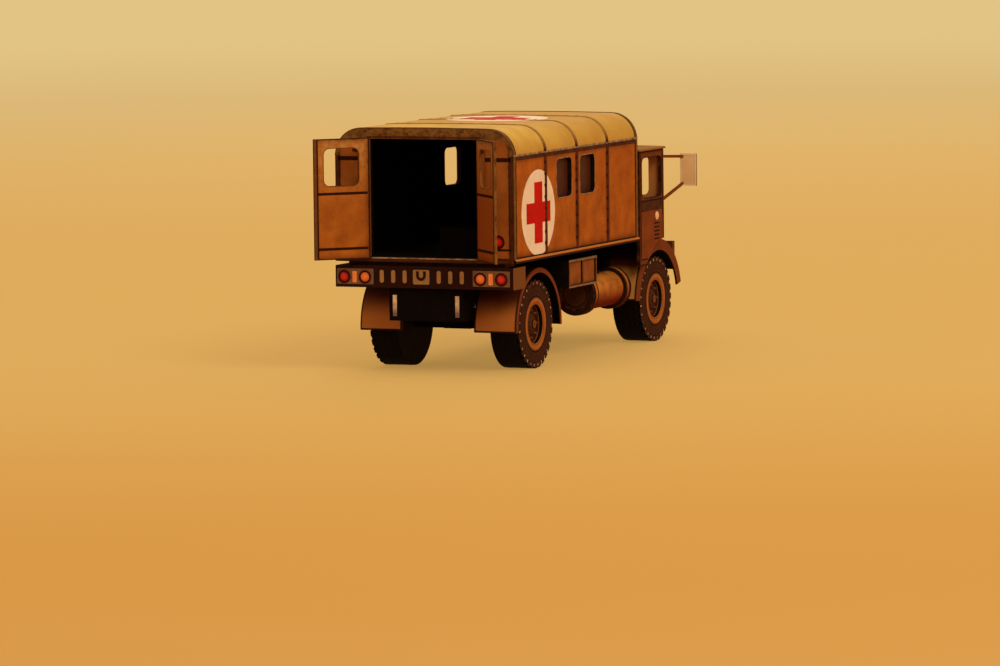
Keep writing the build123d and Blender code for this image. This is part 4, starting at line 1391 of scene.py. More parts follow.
@dataclass
class RearDoor(Assembly):
    """One rear door: both printed faces, its outline strips, window edges, hinges and handle."""

    side: Side
    length: float = 10.1
    thickness: float = 0.4
    window_from_hinge: float = 1.9
    window_from_edge: float = 1.8
    window_from_top: float = 1.7
    window_height: float = 6.4
    corner: float = 1.0
    line_heights: Point2 = (11.35, 1.85)  # above the door's foot
    line_width: float = 0.45
    edge_strip: float = 0.62
    window_edge: float = 0.13
    hinge_shares: Point3 = (0.12, 0.5, 0.9)  # of the door's height

    def __post_init__(self) -> None:
        """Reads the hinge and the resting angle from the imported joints."""
        self.name = f"rear_door_{self.side.word}"
        joint = next(j for j in FRAME["joints"] if j["name"] == f"{self.name}_swing")
        leaf = Extent.of(self.name)
        self.height = leaf.height
        turn, sign = math.radians(-joint["range_deg"][0]), self.side.value
        along = (-math.sin(turn), -sign * math.cos(turn), 0.0)
        out = (-math.cos(turn), sign * math.sin(turn), 0.0)
        hinge = Vector(joint["pos_m"]) / MM
        middle = Face((hinge.x, hinge.y, leaf.low.z), along, UPWARD, out)
        back = replace(middle, out=tuple(-c for c in out))
        self.outer, self.inner = (face.moved(0.0, 0.0, self.thickness / 2) for face in (middle, back))

    def build(self) -> Pieces:
        """Makes and dresses the door's pieces."""
        word, left = self.side.word, self.side is Side.LEFT
        body = f"door_{word}"
        # Painted shade: the right door takes the deeper door ink and lightens less towards its top.
        tone, share = (Ink.DOOR, 0.9) if left else (Ink.DOOR_DEEP, 0.5)
        WallFinish(f"door_print_{word}", tone, Ink.DOOR_DEEP, face=self.inner,
                   inside=Ink.KHAKI, size=(self.length, self.height), outline_width=0.2, fade=1.2,
                   fade_share=0.5, cloud_share=2.0, edge=Ink.LINE if left else Ink.BRAID, bare=Ink.EDGE,
                   upper=Ink.DOOR_UPPER, upper_deep=Ink.DOOR, upper_share=share,
                   upper_span=(0.4 * self.height, self.height)).dress(self.name)
        for face, label in ((self.inner, f"inner_{word}"), (self.outer, f"outer_{word}")):
            yield self.put(self.lines(face), f"door_lines_{label}", LINE_INK, body=body)
            yield self.put(self.window_rim(face), f"door_window_rim_{label}", DIM_PRINT, body=body)
            border = DIM_PRINT if left else CORNER_INK
            yield self.put(self.border(face), f"door_border_{label}", border, body=body)
        yield self.put(self.hinges(), f"door_hinges_{word}", EDGE_PRINT, body=body)
        yield self.put(self.handle(), f"door_handle_{word}", BLACK_CARD, body=body)

    def lines(self, face: Face) -> Shape:
        """Two level lines, and the upright line that marks off the free edge."""
        shape, reach = Shape(face), self.length - self.edge_strip
        for height in self.line_heights:
            shape.bar(reach / 2 + 0.1, height, reach - 0.4, self.line_width)
        return shape.bar(reach, self.height / 2, 0.26, self.height - 0.2, 0.04)

    def border(self, face: Face) -> Shape:
        """Strip along the free edge."""
        wide = self.edge_strip - 0.1
        return Shape(face).bar(self.length - wide / 2, self.height / 2, wide, self.height - 0.1, 0.02)

    def window_rim(self, face: Face) -> Shape:
        """Dim cut edge round the window."""
        width = self.length - self.window_from_hinge - self.window_from_edge
        middle = (self.window_from_hinge + width / 2,
                  self.height - self.window_from_top - self.window_height / 2)
        return Shape(face).rim(middle, (width, self.window_height), self.corner, self.window_edge, 0.04)

    def hinges(self) -> Shape:
        """Three printed strap hinges on the outer face."""
        shape = Shape(self.outer)
        for share in self.hinge_shares:
            shape.plate((1.6, share * self.height), (2.6, 0.7), 0.3, 4, 0.07)
        return shape

    def handle(self) -> Shape:
        """Small lever handle on the outer face."""
        u, v = self.length - 1.5, 0.45 * self.height
        shape = Shape(self.outer).plate((u, v), (0.7, 1.3), 0.3, 5, 0.08)
        return shape.plate((u - 0.6, v), (1.7, 0.3), 0.14, 4, 0.2, foot=0.05)


@dataclass
class RearEnd(Assembly):
    """Rear bumper with its printed lamps, slots and hook plate, and the box under it."""

    bumper_height: float = 3.75
    cluster_y: float = 12.75
    cluster_size: Point2 = (6.9, 2.7)
    cluster_shift: float = 0.18
    lamp_spread: float = 1.95
    lamp_shift: Point2 = (0.28, -0.09)
    lamp_radius: float = 0.8
    bar_plate: Point2 = (0.8, 1.95)
    ring_radius: float = 1.17
    slot_y: Point2 = (3.2, 7.5)
    slot_count: int = 3
    slot_size: Point2 = (0.75, 2.2)
    slot_shift: Point2 = (0.42, 0.09)
    plate_middle: Point2 = (0.52, 0.06)
    plate_size: Point2 = (3.05, 2.5)
    bar_y: float = 5.85
    bar_z: float = 2.6  # above the foot of the tail box
    bar_size: Point2 = (0.75, 3.65)

    def build(self) -> Pieces:
        """Makes and dresses the rear end's pieces."""
        bumper, box = Extent.of("rear_bumper"), Extent.of("tail_box")
        face = end_face(bumper.low.x, 0.0, bumper.low.z + self.bumper_height / 2)
        ends = side_face(Side.LEFT, bumper.low.x, 0.0, bumper.low.z)
        size = (bumper.length, self.bumper_height)
        WallFinish("bumper_card", Ink.DIM_TAN, Ink.EDGE, face=ends, size=size,
                   inside=Ink.DIM_TAN, edge=Ink.BUMPER, bare=Ink.LINE, slot=Slot.BLACK).dress("rear_bumper")
        BLACK_CARD.dress("tail_box")
        yield from self.lamps(face)
        yield from self.slots(face)
        plate = Shape(face).plate(self.plate_middle, self.plate_size, 0.25, 4, 0.05)
        yield self.put(plate, "hook_plate", SLOT_PRINT)
        yield self.put(self.hook(face), "hook_ring", LINE_INK)
        foot = end_face(box.low.x, 0.0, box.low.z + self.bar_z - self.bar_size[1] / 2)
        bars = Shape(foot)
        for side in Side:
            bars.bar(side.value * self.bar_y, self.bar_size[1] / 2, *self.bar_size, 0.04)
        faded = WallFinish("tail_bar_print", Ink.BAR, Ink.EDGE, face=foot,
                           size=self.bar_size, outline_width=-50.0, fade_share=0.0, upper=Ink.PAPER,
                           upper_deep=Ink.PAPER_WORN, upper_share=1.0, upper_span=(0.2, 2.6))
        yield self.put(bars, "tail_bars", faded)

    def lamps(self, face: Face) -> Pieces:
        """Both lamp clusters: a plate with a red lamp outside, an orange one inside and a bar between."""
        plates, rings, bars, red, orange = (Shape(face) for _ in range(5))
        radius, (right, up) = self.lamp_radius, self.lamp_shift
        dome = ((radius, SUNK), (radius, 0.08), (0.8 * radius, 0.16), (0.45 * radius, 0.22), (0.0, 0.24))
        ring = ((self.ring_radius, 0.0), (self.ring_radius, 0.08), (self.ring_radius - 0.1, 0.12),
                (radius + 0.04, 0.12), (radius - 0.02, 0.06), (radius - 0.02, 0.0))
        for side in Side:
            middle = side.value * self.cluster_y
            plates.plate((middle + self.cluster_shift, 0.0), self.cluster_size, 0.15, 3)
            bars.plate((middle + right, up), self.bar_plate, 0.16, 4, 0.09, foot=0.0)
            for way, shape in ((1, red), (-1, orange)):
                y = middle + side.value * way * self.lamp_spread + right
                rings.turned(ring, SMALL, y, up, loop=True)
                shape.turned(dome, SMALL, y, up)
        yield self.put(plates, "lamp_plates", PLATE_PRINT)
        yield self.put(rings, "lamp_rings", LAMP_RING)
        for shape, word, tone, deep in ((red, "red", Ink.LAMP_RED, Ink.LAMP_RED_RIM),
                                        (orange, "orange", Ink.LAMP_ORANGE, Ink.LAMP_ORANGE_RIM)):
            finish = DialFinish(f"lamp_{word}", tone, deep, radius=radius)
            yield self.put(shape, f"{word}_lamps", finish)
        amber = Finish("lamp_amber", Ink.LAMP_AMBER, Ink.LAMP_RED, balance=0.2, slot=Slot.LAMP, coat=0.4)
        yield self.put(bars, "amber_bars", amber)

    def slots(self, face: Face) -> Pieces:
        """Upright slots between the clusters and the hook plate."""
        shape = Shape(face)
        (first, last), (right, up) = self.slot_y, self.slot_shift
        for side in Side:
            for number in range(self.slot_count):
                y = first + (last - first) * number / (self.slot_count - 1)
                shape.plate((side.value * y + right, up), self.slot_size, 0.34, 5)
        yield self.put(shape, "bumper_slots", SLOT_PRINT)

    def hook(self, face: Face) -> Shape:
        """Tow hook as a thick U, open at the top."""
        u, v = self.plate_middle[0], self.plate_middle[1] + 0.27
        bow = circle(u, v, 0.88, 24, 180, 360) + [(u + 0.88, v + 0.75), (u + 0.42, v + 0.75)]
        bow += circle(u, v, 0.42, 24, 180, 360)[::-1] + [(u - 0.42, v + 0.75), (u - 0.88, v + 0.75)]
        return Shape(face).slab(bow, 0.03, 0.14)


@dataclass
class Wheel(Assembly):
    """One wheel: a tyre stacked from card rings, nicked into lugs, round a dished and bolted disc."""

    dresser: Dresser
    end: str
    side: Side
    layer: float = 0.53
    rim_radius: float = 4.7
    dish_radius: float = 3.4
    dish_depth: float = 1.0
    lug_count: int = 28
    lug_depth: float = 0.35
    lug_length: float = 0.8
    nick_width: float = 0.7
    nick_paper_size: Point3 = (0.05, 0.34, 0.5)
    stub_bore: float = 0.7
    bore_end: float = 1.95
    nose_radius: float = 1.5
    nose_length: float = 0.8
    layer_play: tuple[float, ...] = (0.0, -0.03, 0.0, -0.05, -0.01, -0.04, 0.0, -0.03, -0.05, -0.01)
    nuts: tuple[tuple[str, float, float, int, float, float], ...] = (
        ("wheel_nuts", 2.45, -0.02, 8, 0.3, 0.42),  # ring's radius, lift, count, nut's radius, height
        ("hub_nuts", 1.5, 0.05, 12, 0.15, 0.2),
    )

    def __post_init__(self) -> None:
        """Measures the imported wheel."""
        tyre = Extent.of(f"tyre_{self.end}_{self.side.word}")
        middle = tyre.middle
        self.radius = tyre.length / 2
        self.width = tyre.high.y - tyre.low.y
        self.face = side_face(self.side, middle.x, tyre.outer_y(self.side), middle.z)
        self.label = f"{self.end}_{self.side.word}"
        self.body = f"wheel_{self.label}"
        self.axle = (middle.x, 0.0, middle.z)

    def build(self) -> Pieces:
        """Makes and dresses the wheel's pieces."""
        tyre = RoundFinish(f"tyre_print_{self.end}", Ink.SIDEWALL, Ink.SIDEWALL_DEEP,
                           centre=self.axle, slot=Slot.TYRE,
                           rings=((4.82, 0.24, Ink.BLACK), (5.6, 0.1, Ink.SIDEWALL_DEEP),
                                  (6.7, 0.12, Ink.BLACK)))
        yield self.carry(self.tyre(tyre), tyre, f"tyre_{self.label}")
        yield self.carry(self.lugs(tyre), tyre)
        yield self.put(self.face_layers(), f"tyre_face_{self.label}", tyre, body=self.body)
        yield self.carry(self.nick_paper(), NICK_PAPER)
        disc = RoundFinish(f"rim_print_{self.end}", Ink.RIM, Ink.RIM_DEEP, rim=Ink.BLACK_SOFT,
                           centre=self.axle,
                           rings=((4.6, 0.2, Ink.EDGE), (3.65, 0.12, Ink.EDGE), (1.7, 3.3, Ink.OUTLINE)))
        yield self.put(self.disc(), f"rim_{self.label}", disc, f"wheel_disc_{self.label}", body=self.body)
        hub = RoundFinish(f"hub_print_{self.end}", Ink.EDGE, Ink.LINE, rim=Ink.OUTLINE,
                          centre=self.axle, rings=((0.45, 0.5, Ink.DIM_TAN),))
        yield self.put(self.nose(), f"hub_{self.label}", hub, body=self.body)
        for name, radius, lift, *nuts in self.nuts:
            path = Path().ring(self.face, radius, lift - self.dish_depth)
            name = f"{name}_{self.label}"
            heads = self.dresser.rivets(name, path, DIM_PRINT, *nuts, corners=6, uneven=0.0)
            yield self.carry(heads, DIM_PRINT)

    def carry(self, piece: Piece, finish: Finish, *replaced: str) -> Piece:
        """Seats a piece on the wheel's body."""
        return self.keep(piece, finish, *replaced, body=self.body)

    def tyre(self, finish: Finish) -> Piece:
        """Card rings stacked from the nicked layers inwards, no two quite alike."""
        path, rings = Path(), round((self.width - self.lug_length) / self.layer)
        thickness = (self.width - self.lug_length) / rings
        for number in range(rings):
            radius = (self.rim_radius + self.radius) / 2 + self.layer_play[number % len(self.layer_play)]
            path.ring(self.face, radius, -self.lug_length - (number + 0.5) * thickness, radial=True)
        tall = self.radius - self.rim_radius
        return self.dresser.strip(f"tyre_rings_{self.label}", path, finish, thickness, tall)

    def lugs(self, finish: Finish) -> Piece:
        """Lugs left standing between the nicks."""
        root = self.radius - self.lug_depth
        path = Path().ring(self.face, root - 0.1, -self.lug_length / 2, radial=True)
        across = 2 * math.pi * self.radius / self.lug_count - self.nick_width
        size = (self.lug_length, across, self.lug_depth + 0.1)
        return self.dresser.blocks(f"lugs_{self.label}", path, finish, self.lug_count, size, taper=0.98)

    def face_layers(self) -> Shape:
        """Outermost card layers up to the foot of the nicks."""
        root, back = self.radius - self.lug_depth, -self.lug_length
        rim = self.rim_radius
        ring = [(rim, back), (rim, 0.0), (root - 0.05, 0.0), (root, -0.05), (root, back)]
        return Shape(self.face).turned(ring, 112, loop=True)

    def nick_paper(self) -> Piece:
        """Bare paper torn up at the foot of each nick."""
        foot = self.radius - self.lug_depth - 0.42
        path = Path().ring(self.face, foot, 0.0, radial=True, start=180.0 / self.lug_count)
        name = f"lug_nicks_{self.label}"
        return self.dresser.blocks(name, path, NICK_PAPER, self.lug_count, self.nick_paper_size, taper=0.6)

    def disc(self) -> Shape:
        """Dished disc with its raised rim and blind bore."""
        depth, dish, rim, bore = -self.dish_depth, self.dish_radius, self.rim_radius, self.stub_bore
        profile = [(0.0, depth), (dish - 0.25, depth), (dish, depth + 0.2), (dish, -0.12),
                   (dish + 0.1, 0.0), (3.85, 0.0), (3.95, 0.07), (4.55, 0.07), (rim, 0.0),
                   (rim, -self.width), (bore, -self.width), (bore, -self.bore_end), (0.0, -self.bore_end)]
        return Shape(self.face).turned(profile, ROUND)

    def nose(self) -> Shape:
        """Hub nose that tapers to its cap."""
        foot, tip = -self.dish_depth, self.nose_length - self.dish_depth
        profile = [(self.nose_radius + 0.25, foot - 0.02), (self.nose_radius + 0.25, foot + 0.12),
                   (self.nose_radius, foot + 0.18), (1.35, foot + 0.4), (0.95, tip - 0.25), (0.8, tip - 0.2),
                   (0.75, tip), (0.0, tip + 0.03)]
        return Shape(self.face).turned(profile, 36)


@dataclass
class Mudguard(Assembly):
    """One rolled mudguard with its turned-down flange."""

    end: str
    side: Side
    lip_lift: float = -0.4  # front end of the flange above the guard's middle
    sheet_lift: float = -0.4
    drop: float = 0.4  # the guard's middle below the axle
    sheet: float = 0.35
    flange: float = 0.9
    foot: Ink = Ink.FLAP
    pale: Point2 = (2.2, 6.2)  # heights over which the foot's ink fades out
    steps: int = 49

    def build(self) -> Pieces:
        """Makes and dresses the mudguard."""
        label = f"{self.end}_{self.side.word}"
        box, tyre = Extent.of(f"mudguard_{label}"), Extent.of(f"tyre_{label}")
        x, middle_z = tyre.middle.x, tyre.middle.z - self.drop
        radius = box.high.z - middle_z
        inner, outer = sorted((abs(box.low.y), abs(box.high.y)))
        tail, lip_end, sheet_end = (math.degrees(math.asin(level / radius))
                                    for level in (middle_z - box.low.z, self.lip_lift, self.sheet_lift))
        sheet = [(radius - 0.01, inner), (radius - 0.01, outer - 0.1), (radius - self.sheet, outer - 0.1),
                 (radius - self.sheet, inner)]
        lip = [(radius, outer - self.sheet), (radius, outer - 0.14), (radius - 0.14, outer),
               (radius - self.flange, outer), (radius - self.flange, outer - self.sheet)]
        finish = GuardFinish(f"guard_print_{self.end}", Ink.GUARD, Ink.GUARD_DEEP,
                             centre=(x, 0.0, box.low.z), width=outer - inner, inner=inner,
                             foot=self.foot, pale=self.pale)
        shape = Shape(side_face(self.side, x, 0.0, middle_z))
        for section, end in ((sheet, sheet_end), (lip, lip_end)):
            shape.rolled(section, 180.0 + tail, end, self.steps)
        yield self.put(shape, f"guard_sheet_{label}", finish, f"mudguard_{label}")


@dataclass
class SideGear(Assembly):
    """Locker and fuel tank on one side, with the tank's straps."""

    side: Side
    rim: float = 0.65
    rim_length: float = 0.5
    strap_width: float = 1.7
    strap_stations: Point2 = (0.04, 0.96)
    bracket: float = 5.0
    door_border: float = 0.45

    def build(self) -> Pieces:
        """Makes and dresses the gear."""
        yield from self.locker()
        yield from self.tank()

    def locker(self) -> Pieces:
        """Locker finish with its lid edge, foot strip and posts."""
        word, border = self.side.word, self.door_border
        box = Extent.of(f"locker_{word}")
        length, height = box.length, box.height
        face = side_face(self.side, box.low.x, box.outer_y(self.side), box.low.z)
        WallFinish(f"locker_print_{word}", Ink.LOCKER, Ink.LOCKER_DEEP,
                   face=face.moved(border / 2, border / 2), size=(length, height - border),
                   pitch=(length - border) / 2, outline_width=0.26, fade=0.9, outline=Ink.EDGE,
                   edge=Ink.BLACK, bare=Ink.BLACK_SOFT, inside=Ink.EDGE).dress(f"locker_{word}")
        rim = Shape(face).bar(length / 2, height - 0.2, length, 0.4, 0.07)
        rim.bar(length / 2, 0.16, length, 0.32, 0.05)
        yield self.put(rim, f"locker_lid_edge_{word}", LID_PRINT)
        posts = Shape(face)
        for share in (0.0, 0.5, 1.0):
            posts.bar(share * (length - border) + border / 2, height / 2, border, height - 0.7, 0.04)
        yield self.put(posts, f"locker_posts_{word}", DIM_PRINT)

    def tank(self) -> Pieces:
        """Drum with rimmed ends, two straps with brackets and a filler cap."""
        word = self.side.word
        box, straps = Extent.of(f"fuel_tank_{word}"), Extent.of(f"tank_straps_{word}")
        middle = box.middle
        half, outer = box.length / 2, box.height / 2
        barrel, inward = outer - self.rim, half - self.rim_length
        end = [(0.0, half - 0.3), (barrel - 0.5, half - 0.3), (barrel - 0.35, half - 0.12),
               (barrel - 0.2, half), (outer - 0.1, half), (outer, half - 0.12), (outer, inward + 0.1),
               (outer - 0.1, inward), (barrel, inward - 0.08)]
        face = end_face(*middle, forward=True)
        drum = Shape(face).turned(mirrored(end), ROUND)
        finish = TankFinish(f"tank_print_{word}", Ink.TANK, Ink.TANK_DEEP, slot=Slot.TANK,
                            centre=tuple(middle), half=half, rim_length=self.rim_length, radius=outer)
        yield self.put(drum, f"tank_drum_{word}", finish, f"fuel_tank_{word}")
        bands, lines, brackets = (Shape(face) for _ in range(3))
        span = abs(middle.y) - min(abs(straps.low.y), abs(straps.high.y))
        for station in self.strap_stations:
            start = station * (2 * half - self.strap_width) - half
            end = start + self.strap_width
            inside = barrel - 0.05
            bands.turned([(inside, start), (outer, start), (outer, end), (inside, end)], ROUND, loop=True)
            for edge in (start + 0.05, end - 0.45):
                line = [(outer - 0.1, edge), (outer + 0.02, edge), (outer + 0.02, edge + 0.4),
                        (outer - 0.1, edge + 0.4)]
                lines.turned(line, ROUND, loop=True)
            brackets.bar(-self.side.value * span / 2, self.bracket / 2, span, self.bracket, end - 0.05,
                         foot=start + 0.05)
        yield self.put(bands, f"tank_bands_{word}", finish, f"tank_straps_{word}")
        yield self.put(lines, f"tank_band_lines_{word}", LINE_INK)
        yield self.put(brackets, f"tank_brackets_{word}", BLACK_CARD)
        top = Face(tuple(middle), FORWARD, LEFTWARD, UPWARD)
        cap = [(0.75, barrel - 0.2), (0.75, barrel + 0.35), (0.65, barrel + 0.45), (0.0, barrel + 0.45)]
        yield self.put(Shape(top).turned(cap, 28, 0.1 * half, 0.0), f"filler_cap_{word}", LINE_INK)


@dataclass
class Cab(Assembly):
    """Cab: printed sides, front and back, crowned roof, side lamps, louvres and seat."""

    dresser: Dresser
    sill: float = 12.2
    window_height: float = 7.2
    window_border: float = 1.2
    corner: float = 1.0
    pillar: float = 2.7
    centre_pillar: float = 1.2
    roof_edge: float = 0.35
    door_line: float = 0.24
    lamp_x: float = 8.3  # from the rear of the cab
    lamp_z: float = 8.7  # above the foot of the sides
    louvre_z: Point2 = (4.6, 7.4)
    waist: float = 2.1
    wiper_y: Point2 = (4.6, 8.4)  # of the foot and the tip
    wiper_width: float = 0.22

    def __post_init__(self) -> None:
        """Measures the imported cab."""
        self.box = Extent.of("cab_side_left")
        self.length = self.box.length
        self.height = self.box.height
        self.window_middle = self.sill + self.window_height / 2

    def build(self) -> Pieces:
        """Makes and dresses the cab's pieces."""
        self.dress_walls()
        yield self.roof()
        for side in Side:
            yield from self.side_prints(side)
        yield from self.front_prints()

    def dress_walls(self) -> None:
        """Gives the cab's flat pieces their finishes."""
        box, half = self.box, self.box.high.y
        for side in Side:
            WallFinish(f"cab_side_print_{side.word}", Ink.CAB, Ink.CAB_DEEP,
                       face=side_face(side, box.low.x, 0.0, box.low.z), inside=Ink.CAB_INSIDE,
                       size=(self.length, self.height), outline_width=0.35, fade=1.6, edge=Ink.LINE,
                       bare=Ink.EDGE).dress(f"cab_side_{side.word}")
        for node, x, forward in (("cab_front", box.high.x, True), ("cab_back", box.low.x, False)):
            WallFinish(f"{node}_print", Ink.CAB, Ink.CAB_DEEP,
                       face=end_face(x, -half, box.low.z, forward), inside=Ink.CAB_INSIDE,
                       size=(2 * half, self.height), outline_width=0.9, fade=2.2).dress(node)
        BLACK_CARD.dress("cab_floor")
        Finish("seat_print", Ink.BLIND, Ink.BLIND_DEEP, slot=Slot.BROWN).dress("cab_seat")

    def roof(self) -> Piece:
        """Crowned roof with its edges rounded over."""
        box = Extent.of("cab_roof")
        low, edge = box.low.z, self.roof_edge
        crown = box.high.z - low - edge
        hoop = Hoop(box.high.y, low, low + 0.1, edge - 0.1, crown)
        lower = Hoop(box.high.y - 0.12, low, low + 0.05, edge - 0.2, crown - 0.05)
        rear, front = box.low.x, box.high.x
        places = ((rear, lower), (rear + 0.15, hoop), (front - 0.15, hoop), (front, lower))
        finish = Finish("cab_roof_print", Ink.CAB_ROOF, Ink.CAB_ROOF_DEEP, slot=Slot.ROOF)
        shape = Shape().loft([section.ring(x, 4, 20) for x, section in places])
        return self.put(shape, "cab_roof_sheet", finish, "cab_roof")

    def side_prints(self, side: Side) -> Pieces:
        """Door outline, window edge, handle, hinges, lamp and louvre on one side."""
        box, word, sill, middle = self.box, side.word, self.sill, self.length / 2
        face = side_face(side, box.low.x, Extent.of(f"cab_side_{word}").outer_y(side), box.low.z)
        window = (self.length - 2 * self.window_border, self.window_height)
        rim = Shape(face).rim((middle, self.window_middle), window, self.corner, 0.18, 0.06)
        yield self.put(rim, f"cab_window_rim_{word}", EDGE_PRINT)
        band = Shape(face).bar(middle, sill - 0.3 - self.waist / 2, self.length - 1.0, self.waist)
        yield self.put(band, f"cab_waist_band_{word}", EDGE_PRINT)
        lines, wide = Shape(face), self.door_line
        for start, end, height in ((0.6, self.length - 0.6, sill - 0.6), (0.6, 3.6, 1.2)):
            lines.bar((start + end) / 2, height, end - start, wide, 0.04)
        lines.bar(0.7, (1.2 + self.height) / 2, wide, self.height - 2.0, 0.04)
        lines.bar(self.length - 0.7, (8.3 + self.height) / 2, wide, self.height - 9.2, 0.04)
        yield self.put(lines, f"cab_door_lines_{word}", LINE_INK)
        fittings = Shape(face).plate((1.9, sill - 2.2), (1.5, 0.34), 0.15, 4, 0.2, foot=0.0)
        for height in (sill - 1.6, sill + self.window_height - 0.4):
            fittings.plate((self.length - 0.75, height), (0.5, 1.1), 0.18, 4, 0.12)
        yield self.put(fittings, f"cab_fittings_{word}", EDGE_PRINT)
        path = Path().straight([face.at(self.lamp_x, z) for z in self.louvre_z], side.out, FORWARD)
        slats = self.dresser.blocks(f"cab_louvres_{word}", path, LINE_INK, 5, (2.6, 0.26, 0.1), taper=0.8)
        yield self.keep(slats, LINE_INK)
        dome = [(0.75, SUNK), (0.75, 0.08), (0.55, 0.2), (0.25, 0.26), (0.0, 0.27)]
        lamp = Shape(face).turned(dome, 24, self.lamp_x, self.lamp_z)
        yield self.put(lamp, f"side_lamp_{word}", SMALL_LAMP)

    def front_prints(self) -> Pieces:
        """Windscreen edges, the seam below them and the wipers."""
        box = Extent.of("cab_front")
        face = end_face(box.high.x, 0.0, self.box.low.z, forward=True)
        pane = self.box.high.y - self.pillar - self.centre_pillar / 2
        rims, wipers = Shape(face), Shape(face)
        foot = self.sill + self.window_height + 0.2
        head = foot - 3.8
        for side in Side:
            middle = (side.value * (pane + self.centre_pillar) / 2, self.window_middle)
            rims.rim(middle, (pane, self.window_height), self.corner, 0.2, 0.07)
            pivot, tip, lean = *(side.value * y for y in self.wiper_y), self.wiper_width / 2
            arm = [(pivot - lean, foot), (tip - lean, head), (tip + lean, head), (pivot + lean, foot)]
            wipers.slab(arm, 0.08, 0.2).turned([(0.34, SUNK), (0.34, 0.24), (0.0, 0.26)], 16, pivot, foot)
        yield self.put(rims, "windscreen_rims", EDGE_PRINT)
        seam = Shape(face).bar(0.0, self.sill - 0.7, 2 * box.high.y - 1.6, self.door_line, 0.04)
        yield self.put(seam, "scuttle_seam", LINE_INK)
        yield self.put(wipers, "windscreen_wipers", LINE_INK)


